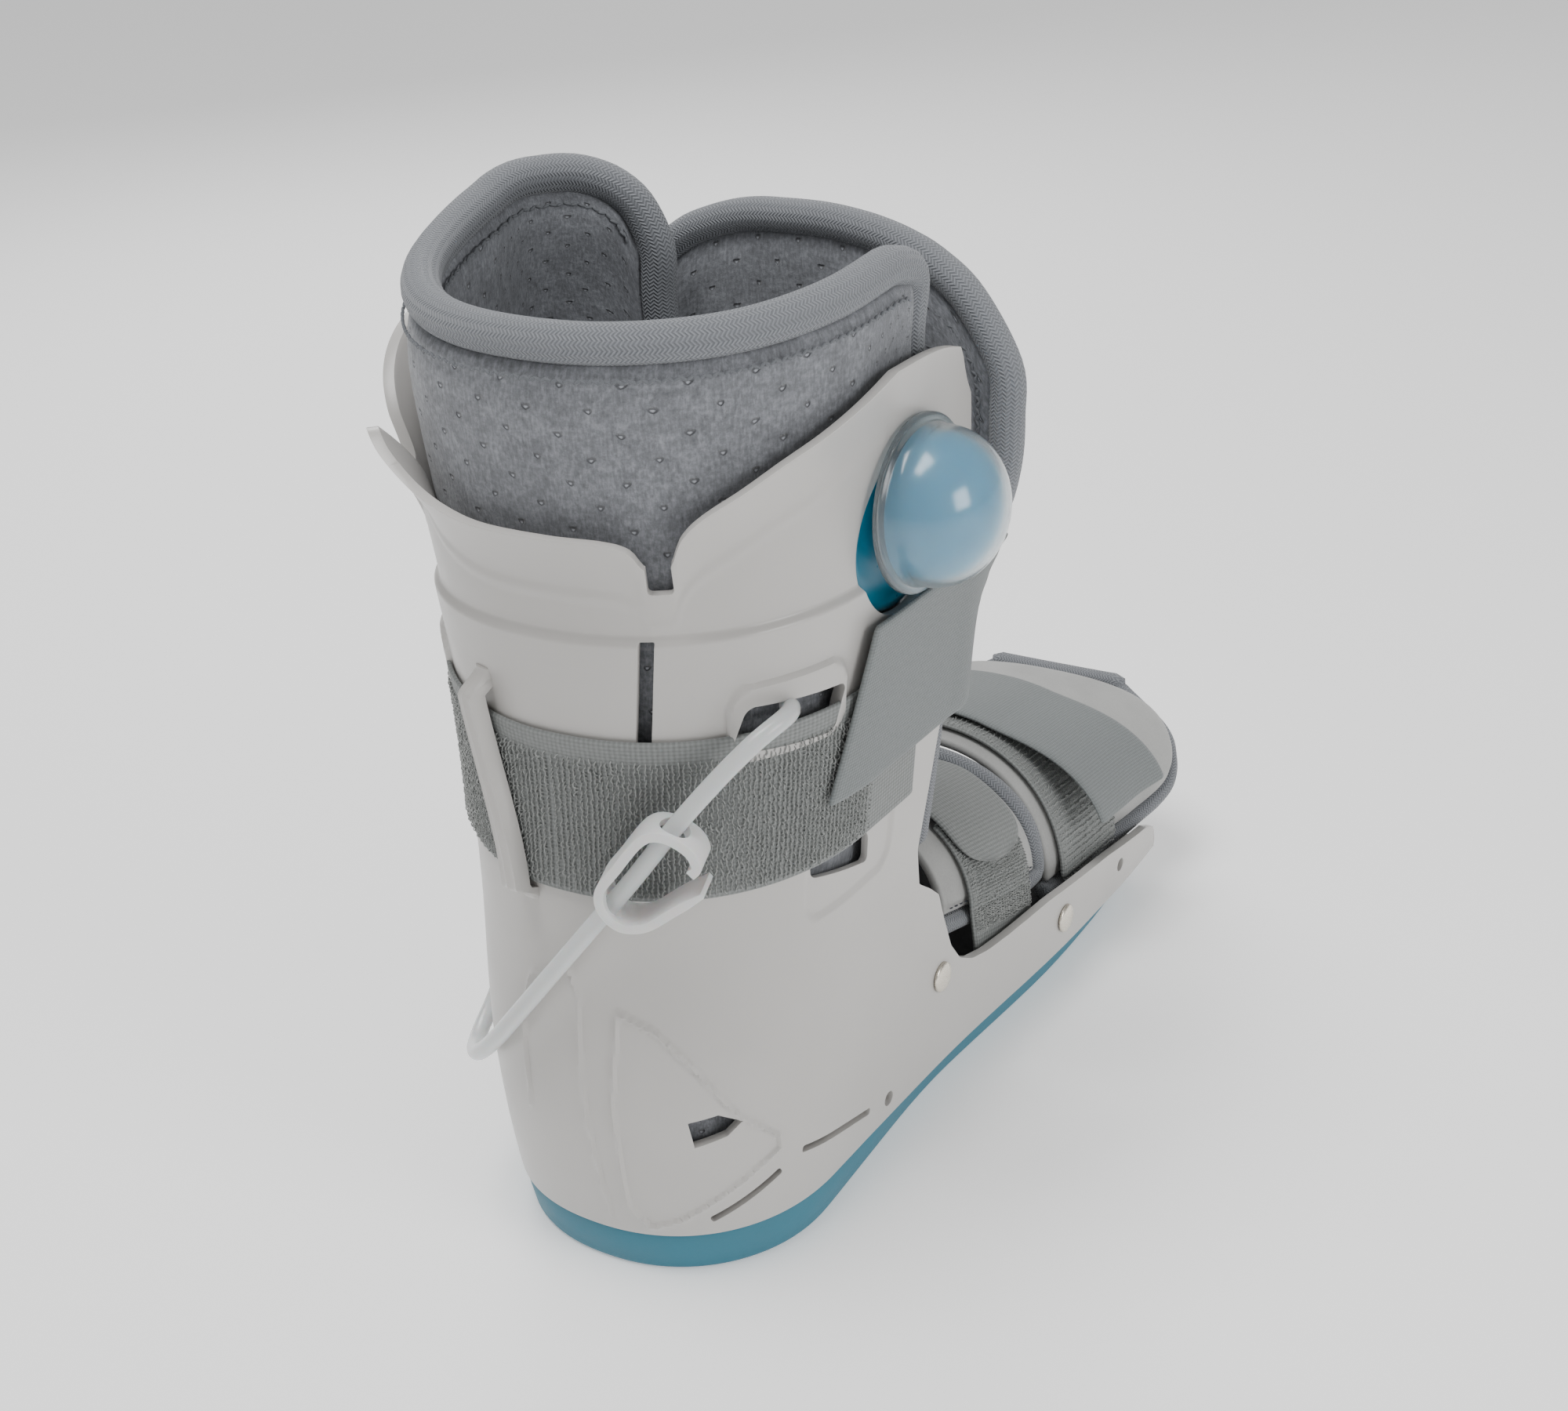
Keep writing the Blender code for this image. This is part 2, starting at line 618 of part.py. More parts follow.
def liner_point(way, z, inset):
    """A point inside the shell: `way` is a share of a half turn from the back's middle, left below zero.

    The left side turns round the front, and the right side runs straight forward to its end.
    """
    clearance = SHELL_WALL + 2 * GAP + BAND_STEP + inset
    lean = Vector((LINER_LEAN * smooth((z / SHELL_HEIGHT - 1.0) / 0.16), 0, 0))
    turn = way * 180
    if abs(turn) <= 90:
        return wall_point(turn, 0, z, -clearance) + lean
    centre = section("centre", z) * HEEL_REACH
    half = side_half_width(centre, z) - clearance
    if turn > 0:
        share = (way - 0.5) / (LINER_END - 0.5)
        return Vector((half, centre + share * (LINER_RIGHT_END - centre), z)) + lean
    reach = section("front", z) * HEEL_REACH - inset - centre
    angle = radians(-turn - 90)
    power = 2 / SECTION_POWER
    return Vector((-half * cos(angle) ** power, centre + reach * sin(angle) ** power, z)) + lean


def liner_top(way):
    return SHELL_HEIGHT * along(LINER_RIM, "way", "height", way)


def liner_bottom(way):
    """Level on the foot plate, cut away upwards over the foot on both sides of the front."""
    open_front = smooth((abs(way) - 0.48) / 0.12)
    return LINER_LOW + open_front * SHELL_HEIGHT * 0.42


def liner_ways():
    return spread(LINER_START, LINER_END, LINER_COLUMNS)


def make_liner(finish):
    outer, inner = [], []
    for way in liner_ways():
        low, top = liner_bottom(way), liner_top(way) - BINDING_RADIUS - GAP
        heights = spread(low, top, LINER_ROWS)
        outer.append([liner_point(way, z, 0.0) for z in heights])
        inner.append([liner_point(way, z, LINER_THICKNESS) for z in heights])
    return wall_between("liner", outer, inner, finish)


def make_liner_binding(finish):
    """Rounded binding on the liner's top edge, turned down over its two front ends."""
    middle = LINER_THICKNESS / 2 + 3 * GAP
    lower = BINDING_RADIUS + GAP
    turned_down = spread(0.74, 1.0, 7)
    places = [(LINER_START, (liner_top(LINER_START) - lower) * share) for share in turned_down]
    places += [(way, liner_top(way) - lower) for way in liner_ways()[1:-1]]
    places += [(LINER_END, (liner_top(LINER_END) - lower) * share) for share in reversed(turned_down)]
    edge = [liner_point(way, z, middle) for way, z in places]
    through = [liner_point(way, z, 0) - liner_point(way, z, LINER_THICKNESS) for way, z in places]
    points = beside(edge, through, -BINDING_RADIUS - 3 * GAP)
    return tube("liner_binding", even_curve(points, 7 * MM), BINDING_RADIUS, finish, sides=3)


# Front flap, from its left edge to its right edge: top height, share of the flap's height
FlapTop = namedtuple("FlapTop", "across height")
FLAP_TOP = (
    FlapTop(across=0.00, height=0.90),
    FlapTop(across=0.06, height=0.95),
    FlapTop(across=0.16, height=0.985),
    FlapTop(across=0.38, height=1.005),
    FlapTop(across=0.60, height=1.003),
    FlapTop(across=0.80, height=0.985),
    FlapTop(across=0.92, height=0.950),
    FlapTop(across=1.00, height=0.885),
)
# and, by height, its two edges as shares of its half width and its inner face as a share of the heel's reach
FlapEdge = namedtuple("FlapEdge", "height left right front")
FLAP_EDGES = (
    FlapEdge(height=0.30, left=-0.50, right=0.50, front=0.60),
    FlapEdge(height=0.45, left=-0.56, right=0.60, front=0.62),
    FlapEdge(height=0.60, left=-0.62, right=0.66, front=0.69),
    FlapEdge(height=0.685, left=-0.65, right=0.77, front=0.72),
    FlapEdge(height=0.735, left=-0.66, right=0.91, front=0.725),
    FlapEdge(height=0.80, left=-0.68, right=0.99, front=0.73),
    FlapEdge(height=0.90, left=-0.66, right=1.00, front=0.735),
    FlapEdge(height=1.00, left=-0.60, right=0.90, front=0.75),
)
FLAP_LEFT_BEND, FLAP_RIGHT_BEND = 10 * MM, 0.5 * MM
FLAP_COLUMNS, FLAP_ROWS = 22, 12


def flap_point(across, z, outset):
    """A point of the flap's inner face moved out by `outset`: flat in front, bent back at both sides."""
    share = z / FLAP_HEIGHT
    left = along(FLAP_EDGES, "height", "left", share) * FLAP_HALF_WIDTH
    right = along(FLAP_EDGES, "height", "right", share) * FLAP_HALF_WIDTH
    x = left + (right - left) * across
    bend = FLAP_LEFT_BEND if x < 0 else FLAP_RIGHT_BEND
    front = along(FLAP_EDGES, "height", "front", share) * HEEL_REACH
    slope = 2 * bend * x / FLAP_HALF_WIDTH**2
    out = Vector((slope, 1, 0)).normalized()
    return Vector((x, front - bend * (x / FLAP_HALF_WIDTH) ** 2, z)) + out * outset


def flap_top(across):
    return FLAP_HEIGHT * along(FLAP_TOP, "across", "height", across)


def make_front_flap(finish):
    inner, outer = [], []
    for across in spread(0, 1, FLAP_COLUMNS):
        heights = spread(FLAP_FOOT, flap_top(across), FLAP_ROWS)
        inner.append([flap_point(across, z, 0.0) for z in heights])
        outer.append([flap_point(across, z, FLAP_THICKNESS) for z in heights])
    return wall_between("front_flap", inner, outer, finish)


def make_flap_binding(finish):
    places = [(0.0, z) for z in spread(FLAP_FOOT, flap_top(0.0), 13)]
    places += [(across, flap_top(across)) for across in spread(0, 1, 15)[1:-1]]
    places += [(1.0, z) for z in spread(flap_top(1.0), FLAP_FOOT, 13)]
    edge = [flap_point(across, z, FLAP_THICKNESS / 2) for across, z in places]
    points = beside(edge, [Vector((0, 1, 0))] * len(edge), FLAP_BINDING_RADIUS + 3 * GAP)
    return tube("flap_binding", even_curve(points, 7 * MM), FLAP_BINDING_RADIUS, finish, sides=3)


def make_foot_pad(finish):
    low = SOLE_HEIGHT + PLATE_THICKNESS + 4 * GAP
    inset = SHELL_WALL + LINER_THICKNESS + BAND_STEP + 6 * GAP
    loops = [foot_outline(z, inset) for z in (low, low + 4 * MM)]
    return stack("foot_pad", loops, finish)


# Soft pads over the foot, from back to front: width as a share of the pad's half width, heights of the
# crown and of the side edges as shares of the shell's height
TOE_PAD = (
    Outline(share=0.00, width=1.00, crown=0.318, edge=0.128),
    Outline(share=0.35, width=1.00, crown=0.300, edge=0.118),
    Outline(share=0.62, width=1.08, crown=0.283, edge=0.122),
    Outline(share=0.78, width=1.20, crown=0.270, edge=0.150),
    Outline(share=0.90, width=1.08, crown=0.258, edge=0.185),
    Outline(share=0.97, width=0.84, crown=0.250, edge=0.212),
    Outline(share=1.00, width=0.60, crown=0.244, edge=0.232),
)
INSTEP_PAD = (
    Outline(share=0.00, width=0.94, crown=0.352, edge=0.215),
    Outline(share=0.50, width=0.98, crown=0.335, edge=0.190),
    Outline(share=1.00, width=1.00, crown=0.312, edge=0.168),
)
TOE_PAD_START, TOE_PAD_END = 128 * MM, 226 * MM
INSTEP_PAD_START, INSTEP_PAD_END = 62 * MM, 118 * MM


def pad_point(table, start, end, across, y, lift):
    """A point of a pad's top face: crowned across, bent down to its side edges, moved out by `lift`.

    Past 1 either way it goes on straight down, inside the shell's foot wall.
    """
    past = max(abs(across) - 1, 0.0)
    across = min(max(across, -1), 1)
    share = (y - start) / (end - start)
    half = along(table, "share", "width", share) * PAD_HALF_WIDTH
    crown = along(table, "share", "crown", share) * SHELL_HEIGHT
    edge = along(table, "share", "edge", share) * SHELL_HEIGHT
    angle = across * pi / 2
    x = half * abs(sin(angle)) ** 0.9 * (1 if across > 0 else -1)
    z = edge + (crown - edge) * max(cos(angle), 0.0) ** 0.9
    out = Vector((sin(angle), 0, max(cos(angle), 0.0)))
    return Vector((x, y, z - past * STRAP_LEG_DROP)) + out * (lift + past * STRAP_LEG_SPREAD)


def toe_point(across, y, lift):
    return pad_point(TOE_PAD, TOE_PAD_START, TOE_PAD_END, across, y, lift)


def instep_point(across, y, lift):
    return pad_point(INSTEP_PAD, INSTEP_PAD_START, INSTEP_PAD_END, across, y, lift)


def make_pad(name, point, start, end, finish, count_across=15, count_along=9):
    upper, lower = [], []
    for y in spread(start, end, count_along):
        acrosses = spread(-1, 1, count_across)
        upper.append([point(a, y, 0.0) for a in acrosses])
        lower.append([point(a, y, -PAD_THICKNESS) for a in acrosses])
    return wall_between(name, upper, lower, finish)


def make_piping(name, point, start, end, finish):
    """A round edge along one pad's sides and round its front."""
    places = [(-1, y) for y in spread(start, end, 15)]
    places += [(across, end) for across in spread(-1, 1, 13)[1:-1]]
    places += [(1, y) for y in spread(end, start, 15)]
    edge = [point(across, y, -PAD_THICKNESS / 2) for across, y in places]
    through = [point(across, y, 0) - point(across, y, -PAD_THICKNESS) for across, y in places]
    points = beside(edge, through, -PIPING_RADIUS - 4 * GAP)
    return tube(name, even_curve(points, 5 * MM), PIPING_RADIUS, finish, sides=2)


def flat_lift(across):
    """A strap that lies on the pad all the way."""
    return 2.5 * GAP


def overlap_lift(across):
    """A strap whose right end lies over the end of another one."""
    return 2.5 * GAP + (2.5 * GAP + STRAP_THICKNESS) * smooth((across - 0.1) / 0.25)


def free_end_lift(across):
    """A strap on top of another one, its free end lifted."""
    return 6 * GAP + STRAP_THICKNESS + TOE_STRAP_LIFT * smooth((across - 0.2) / 0.6)


def make_band(name, point, y_low, y_high, first, last, lift, finish, count=19):
    """A flat strap across a pad, from one share of its width to another."""
    under, over = [], []
    for a in spread(first, last, count):
        ys = spread(y_low, y_high, 3)
        under.append([point(a, y, lift(a)) for y in ys])
        over.append([point(a, y, lift(a) + STRAP_THICKNESS) for y in ys])
    return wall_between(name, under, over, finish)


def make_ankle_strap(finish):
    """Loop-pile strap round the back of the shell, a little higher on the left, near both front edges."""
    ends = spread(0.02, 0.13, 4)
    places = [(-90.0, f) for f in reversed(ends)] + [(t, 0.0) for t in spread(-90, 90, 29)]
    places += [(90.0, f) for f in ends]
    inner, outer = [], []
    for turn, forward in places:
        middle = STRAP_MIDDLE + STRAP_TILT * smooth(-turn / 60)
        heights = spread(middle - STRAP_WIDTH / 2, middle + STRAP_WIDTH / 2, 4)
        inner.append([wall_point(turn, forward, z, GAP) for z in heights])
        outer.append([wall_point(turn, forward, z, GAP + STRAP_THICKNESS) for z in heights])
    return wall_between("ankle_strap", inner, outer, finish)


def closure_path(z):
    """Plan of the closure strap at one height: left side, round the flap's front, then the right side."""
    over = 3 * GAP + STRAP_THICKNESS
    path = [wall_point(-90, f, z, over) for f in spread(0.06, 0.24, 4)]
    round_edge = FLAP_BINDING_RADIUS + 11 * GAP
    for across, side in ((0.0, -1), (1.0, 1)):
        bound = Vector((side * (FLAP_BINDING_RADIUS + 3 * GAP), 0, 0))
        middle = flap_point(across, z, FLAP_THICKNESS / 2) + bound
        corner = [middle + Vector((side * cos(t), sin(t), 0)) * round_edge for t in (0.3, 0.9)]
        if side < 0:
            path += corner
            path += [flap_point(a, z, FLAP_THICKNESS + 3 * MM) for a in spread(0.14, 0.86, 6)]
        else:
            path += reversed(corner)
    path += [wall_point(90, f, z, over) for f in spread(0.24, 0.0, 5)]
    return path + [wall_point(turn, 0, z, over) for turn in (84, 78, 72)]


def make_closure_strap(finish):
    """Smooth strap from the left side round the front, its slanted cut end pressed on the ankle strap."""
    count = 44
    middles = [STRAP_MIDDLE + CLOSURE_RISE * smooth(2.2 * n / count) for n in range(count + 1)]
    inner, outer = [[] for _ in middles], [[] for _ in middles]
    for share in spread(-0.5, 0.5, 4):
        path = even_curve(closure_path(STRAP_MIDDLE + CLOSURE_RISE + share * STRAP_WIDTH), count=count)
        cut = count - CLOSURE_CUT * (share + 0.5)
        for n, middle in enumerate(middles):
            at = n * cut / count
            k = min(int(at), count - 1)
            p = path[k].lerp(path[k + 1], at - k)
            q = path[min(k + 1, count)] - path[max(k - 1, 0)]
            out = Vector((-q.y, q.x, 0)).normalized()
            z = middle + share * STRAP_WIDTH
            inner[n].append(Vector((p.x, p.y, z)))
            outer[n].append(Vector((p.x, p.y, z)) + out * STRAP_THICKNESS)
    return wall_between("closure_strap", inner, outer, finish)


def turned(name, profile, centre, finish, steps=24, hollow=False, seat=None):
    """A body turned about the +X line through its centre, from (reach, radius) pairs.

    With a seat, a function of y and z, each point's reach is measured from that surface instead.
    """
    centre = Vector(centre)
    mesh = bmesh.new()
    rings = []
    for reach, radius in profile:
        if radius == 0:
            rings.append([mesh.verts.new(centre + Vector((reach, 0, 0)))])
            continue
        turns = [2 * pi * n / steps for n in range(steps)]
        rings.append([mesh.verts.new(centre + Vector((reach, radius * cos(t), radius * sin(t)))) for t in turns])
    following = rings[1:] + rings[:1] if hollow else rings[1:]
    for vertex in mesh.verts if seat else ():
        vertex.co.x += seat(vertex.co.y, vertex.co.z) - centre.x
    for a, b in zip(rings, following):
        for n in range(steps):
            m = (n + 1) % steps
            corners = [a[n % len(a)], a[m % len(a)], b[m % len(b)], b[n % len(b)]]
            unique = [v for i, v in enumerate(corners) if v not in corners[:i]]
            if len(unique) > 2:
                mesh.faces.new(unique)
    for ring in () if hollow else (rings[0], rings[-1]):
        if len(ring) > 2:
            mesh.faces.new(ring)
    return add_object(name, mesh, finish)


def pump_seat(y, z):
    """The shell's outer face on the pump's side, above the band."""
    return side_half_width(y, z) - BAND_STEP


def make_air_bladder(finish):
    """Flat teal bladder that fills the pump's opening, just below the shell's face."""
    radii = (PUMP_OPENING_RADIUS - 2 * GAP, 0.5 * PUMP_OPENING_RADIUS, 0)
    top, low = -2 * GAP, -2 * GAP - BLADDER_THICKNESS
    profile = [(low, radius) for radius in reversed(radii)] + [(top, radius) for radius in radii]
    centre = (0, PUMP_STATION, PUMP_HEIGHT - PUMP_OPENING_DROP)
    return turned("air_bladder", profile, centre, finish, seat=pump_seat)


def make_pump(dome_finish, bulb_finish):
    flange = DOME_RADIUS + DOME_FLANGE
    face = pump_seat(PUMP_STATION, PUMP_HEIGHT + flange)
    centre = (face, PUMP_STATION, PUMP_HEIGHT)
    lift = 3.5 * GAP
    inner_radius = DOME_RADIUS - DOME_WALL
    straight = 6 * MM
    outer = [(lift, DOME_RADIUS + DOME_FLANGE), (lift + 2 * MM, DOME_RADIUS + DOME_FLANGE)]
    outer += [(lift + 3 * MM, DOME_RADIUS + 0.5 * MM), (lift + straight, DOME_RADIUS)]
    for n in range(1, 7):
        turn = pi / 2 * n / 6
        radius = DOME_RADIUS * cos(turn) if n < 6 else 0
        outer.append((lift + straight + DOME_RADIUS * 0.86 * sin(turn), radius))
    hollow = [(lift + straight + (DOME_RADIUS * 0.86 - DOME_WALL) * sin(pi / 2 * n / 6),
               inner_radius * cos(pi / 2 * n / 6) if n < 6 else 0) for n in range(6, -1, -1)]
    turned("pump_dome", outer + hollow + [(lift, inner_radius)], centre, dome_finish, hollow=True)
    radius = inner_radius - 2 * GAP
    bulb = [(lift, radius)]
    for n in range(0, 7):
        turn = pi / 2 * n / 6
        tip = DOME_RADIUS * 0.86 - DOME_WALL - 2 * GAP
        bulb.append((lift + straight + tip * sin(turn), radius * cos(turn) if n < 6 else 0))
    turned("pump_bulb", bulb, centre, bulb_finish)


# Route of the air tube's middle, chosen by hand: out of the right upper slot, down across the strap to
# the clamp, round the back of the heel and up into the left lower slot.
TUBE_ROUTE = (
    (0.0535, -0.0320, 0.1712),
    (0.0575, -0.0350, 0.1728),
    (0.0610, -0.0405, 0.1745),
    (0.0580, -0.0500, 0.1725),
    (0.0500, -0.0590, 0.1630),
    (0.0400, -0.0670, 0.1500),
    (0.0300, -0.0715, 0.1360),
    (0.0180, -0.0745, 0.1210),
    (0.0040, -0.0765, 0.1040),
    (-0.0110, -0.0770, 0.0860),
    (-0.0270, -0.0735, 0.0680),
    (-0.0420, -0.0645, 0.0550),
    (-0.0530, -0.0500, 0.0500),
    (-0.0590, -0.0330, 0.0530),
    (-0.0625, -0.0190, 0.0650),
    (-0.0645, -0.0130, 0.0830),
    (-0.0650, -0.0110, 0.1000),
    (-0.0635, -0.0115, 0.1130),
    (-0.0555, -0.0120, 0.1190),
)


def make_air_tube(finish):
    return tube("air_tube", even_curve(TUBE_ROUTE, 4.2 * 2 * TUBE_RADIUS / 2), TUBE_RADIUS, finish, sides=2)


CLAMP_AT = 6


# The clamp's strip seen on its edge, from its hook round the bend to the jaw's tip: along the tube and
# across it, as shares of the clamp's length
ClampFold = namedtuple("ClampFold", "run across")
CLAMP_FOLD = (
    ClampFold(run=-0.40, across=0.33),
    ClampFold(run=-0.50, across=0.33),
    ClampFold(run=-0.58, across=0.18),
    ClampFold(run=-0.55, across=-0.05),
    ClampFold(run=-0.40, across=-0.18),
    ClampFold(run=0.00, across=-0.19),
    ClampFold(run=0.27, across=-0.18),
    ClampFold(run=0.42, across=-0.05),
    ClampFold(run=0.45, across=0.15),
    ClampFold(run=0.30, across=0.32),
    ClampFold(run=0.00, across=0.42),
    ClampFold(run=-0.30, across=0.52),
)


def make_tube_clamp(finish):
    """Folded strip round the tube: a hook, a straight back, a round bend and a jaw, bored for the tube."""
    centre = Vector(TUBE_ROUTE[CLAMP_AT])
    run = (Vector(TUBE_ROUTE[CLAMP_AT + 1]) - Vector(TUBE_ROUTE[CLAMP_AT - 1])).normalized()
    out = outward(degrees(atan2(centre.x, -centre.y)), centre.z)
    out = (out - run * out.dot(run)).normalized()
    side = out.cross(run)
    thick = CLAMP_STRIP / 2
    path = even_curve([Vector((fold.run, fold.across, 0)) * CLAMP_LENGTH for fold in CLAMP_FOLD], count=26)
    outer, inner = [], []
    for n, point in enumerate(path):
        before, after = path[max(n - 1, 0)], path[min(n + 1, len(path) - 1)]
        across = Vector((after.y - before.y, before.x - after.x, 0)).normalized() * thick
        outer.append(point + across)
        inner.append(point - across)
    loops = []
    for c in (-CLAMP_WIDTH / 2, CLAMP_WIDTH / 2):
        loops.append([centre + run * p.x + side * p.y + out * c for p in outer + inner[::-1]])
    clamp = stack("tube_clamp", loops, finish)
    bore = TUBE_RADIUS + 5 * GAP
    boolean(clamp, plug("cut_clamp_bore", disc(bore, 14), centre, run, out, CLAMP_LENGTH))
    return clamp


def make_rivets(finish):
    for side, label in ((1, "right"), (-1, "left")):
        for where, forward, height in (("heel", 0.20, 0.183), ("ball", 0.566, 0.102)):
            y, z = TOE_REACH * forward, SHELL_HEIGHT * height
            x = side_half_width(y, z) + GAP
            profile = [(0, RIVET_RADIUS), (0.5 * MM, RIVET_RADIUS), (RIVET_RISE * 0.85, RIVET_RADIUS * 0.7)]
            profile += [(RIVET_RISE, RIVET_RADIUS * 0.35), (RIVET_RISE, 0)]
            made = turned("rivet_" + where + "_" + label, profile, (x, y, z), finish, steps=16)
            if side < 0:
                made.data.transform(Matrix.Scale(-1, 4, (1, 0, 0)))
                made.data.flip_normals()


def main():
    for old in list(bpy.data.objects):
        bpy.data.objects.remove(old, do_unlink=True)
    rubber = material("rubber_teal", (0.03, 0.17, 0.24), 0.55)
    plastic = material("shell_grey", (0.52, 0.51, 0.50), 0.38)
    foam = material("foam_fabric", (0.23, 0.24, 0.26), 0.95)
    knit = material("binding_knit", (0.24, 0.26, 0.28), 0.85)
    dark = material("foot_foam", (0.02, 0.02, 0.022), 0.9)
    smooth_pad = material("pad_laminate", (0.36, 0.37, 0.36), 0.6)
    loop_tape = material("loop_tape", (0.22, 0.23, 0.22), 0.9)
    hook_tape = material("hook_tape", (0.17, 0.19, 0.19), 0.75)
    film = material("bladder_film", (0.01, 0.16, 0.25), 0.35)
    blue = material("bulb_blue", (0.10, 0.45, 0.68), 0.35)
    frosted = material("frosted_clear", (0.85, 0.9, 0.92), 0.25, alpha=0.35)
    milky = material("milky_tube", (0.8, 0.82, 0.82), 0.3)
    metal = material("rivet_metal", (0.65, 0.62, 0.55), 0.3, metallic=1.0)

    make_outsole(rubber)
    make_shell(plastic)
    make_liner(foam)
    make_liner_binding(knit)
    make_front_flap(foam)
    make_flap_binding(knit)
    make_foot_pad(dark)
    make_pad("toe_pad", toe_point, TOE_PAD_START, TOE_PAD_END, smooth_pad)
    make_piping("toe_piping", toe_point, TOE_PAD_START, TOE_PAD_END, knit)
    make_pad("instep_pad", instep_point, INSTEP_PAD_START, INSTEP_PAD_END, smooth_pad)
    make_piping("instep_piping", instep_point, INSTEP_PAD_START, INSTEP_PAD_END, knit)
    make_band("toe_loop_strap", toe_point, *LOOP_STRAP_PLACE, -1, 1, flat_lift, loop_tape)
    make_band("toe_strap", toe_point, *TOE_STRAP_PLACE, -0.92, 0.75, free_end_lift, hook_tape)
    make_band("instep_strap", instep_point, *INSTEP_STRAP_PLACE, -1.9, 0.8, overlap_lift, loop_tape)
    make_band("instep_tab", instep_point, *INSTEP_STRAP_PLACE, 0.5, 1.9, flat_lift, loop_tape, count=15)
    make_ankle_strap(loop_tape)
    make_closure_strap(hook_tape)
    make_air_bladder(film)
    make_pump(frosted, blue)
    make_air_tube(milky)
    make_tube_clamp(milky)
    make_rivets(metal)


main()
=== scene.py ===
"""Looks of the short air walker boot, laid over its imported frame.

Metres, +Z up, +Y to the toes and +X to the side with the pump, as in the frame. The tables and forms
nearly repeat the part's own. The rim, the walls' front edge, the toe strap and the closure strap
follow the photograph a little more closely than the part does.
"""

from collections import namedtuple
from math import atan2, cos, degrees, pi, radians, sin

import bmesh
import bpy
import numpy as np
from mathutils import Matrix, Vector, noise


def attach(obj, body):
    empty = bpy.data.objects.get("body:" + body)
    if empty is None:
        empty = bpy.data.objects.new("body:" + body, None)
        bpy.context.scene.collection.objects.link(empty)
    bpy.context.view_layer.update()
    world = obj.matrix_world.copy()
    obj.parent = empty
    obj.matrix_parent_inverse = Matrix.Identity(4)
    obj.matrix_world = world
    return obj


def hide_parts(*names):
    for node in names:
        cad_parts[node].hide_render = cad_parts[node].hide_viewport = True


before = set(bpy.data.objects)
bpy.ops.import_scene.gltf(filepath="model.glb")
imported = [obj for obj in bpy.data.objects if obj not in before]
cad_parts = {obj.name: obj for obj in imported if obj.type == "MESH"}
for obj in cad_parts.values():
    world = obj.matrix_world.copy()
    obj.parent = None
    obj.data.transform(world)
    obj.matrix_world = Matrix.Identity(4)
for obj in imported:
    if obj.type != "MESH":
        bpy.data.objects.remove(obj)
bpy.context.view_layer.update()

MM = 0.001
BODY = "root"

# Sizes of the part
SOLE_HEIGHT = 13.7 * MM
TOE_SPRING = 6 * MM
HEEL_REACH = 74 * MM
TOE_REACH = 212 * MM
BALL_SPREAD = 5 * MM
SOLE_INSET = 0.5 * MM
SOLE_WAIST_INSET = 5 * MM
SOLE_DRAFT = 2 * MM
BALL_STATION = 118 * MM
SHELL_WALL = 3 * MM
PLATE_THICKNESS = 3 * MM
SHELL_HEIGHT = 252 * MM
CALF_HALF_WIDTH = 66 * MM
WALL_END = 197 * MM
BAND_TOP = 196 * MM
BAND_STEP = 1.8 * MM
LIP_FLARE = 5 * MM
LIP_DEPTH = 17 * MM
SECTION_POWER = 2.2
NOTCH_TURN, NOTCH_WIDTH, NOTCH_FLOOR = 30.5, 6.6 * MM, 209 * MM
SLIT_TURN, SLIT_WIDTH, SLIT_LENGTH = 23.5, 4.2 * MM, 64 * MM
SLIT_LEAN = 0.13
UPPER_SLOT_TURN, UPPER_SLOT_LENGTH, UPPER_SLOT_HEIGHT = 62, 31 * MM, 13 * MM
LOWER_SLOT_TURN, LOWER_SLOT_LENGTH, LOWER_SLOT_HEIGHT, LOWER_SLOT_DROP = 84, 27 * MM, 9 * MM, 3.5 * MM
PUMP_OPENING_RADIUS, PUMP_OPENING_DROP = 24.5 * MM, 6.5 * MM
VENT_SIZE, VENT_TURN, VENT_HEIGHT = 8.5 * MM, 45, 0.2 * SHELL_HEIGHT
VENT_OUTLINE = ((-0.9, 0.45), (-0.75, -0.55), (0.35, -0.3), (0.9, 0.15), (0.1, 0.6))
SEAM_VENT_LENGTH, SEAM_VENT_HEIGHT = 24 * MM, 2.2 * MM
REAR_SEAM_TURN, REAR_SEAM_HEIGHT, REAR_SEAM_SLOPE = 53.5, 24.5 * MM, 0.48
SIDE_SEAM_STATION, SIDE_SEAM_HEIGHT, SIDE_SEAM_SLOPE = -18 * MM, 28 * MM, 0.25
HOLE_RADIUS = 2.4 * MM
SCREW_HOLE = (0.77 * TOE_REACH, 0.094 * SHELL_HEIGHT)
DRAIN_HOLE = (0.05 * TOE_REACH, 0.083 * SHELL_HEIGHT)
HEEL_RIVET = (0.20 * TOE_REACH, 0.183 * SHELL_HEIGHT)
BALL_RIVET = (0.566 * TOE_REACH, 0.102 * SHELL_HEIGHT)
LINER_THICKNESS = 9 * MM
LINER_LEAN = 5 * MM
LINER_START, LINER_END = -0.83, 0.60
LINER_RIGHT_END = 21 * MM
FLAP_THICKNESS = 8 * MM
FLAP_HEIGHT, FLAP_FOOT, FLAP_HALF_WIDTH = 265.5 * MM, 92 * MM, 66.5 * MM
FLAP_LEFT_BEND, FLAP_RIGHT_BEND = 10 * MM, 0.5 * MM
BINDING_RADIUS, FLAP_BINDING_RADIUS = 5.3 * MM, 5 * MM
STRAP_WIDTH, STRAP_THICKNESS, STRAP_MIDDLE, STRAP_TILT = 46 * MM, 2 * MM, 145 * MM, 5 * MM
CLOSURE_RISE, CLOSURE_CUT = 18 * MM, 2.7
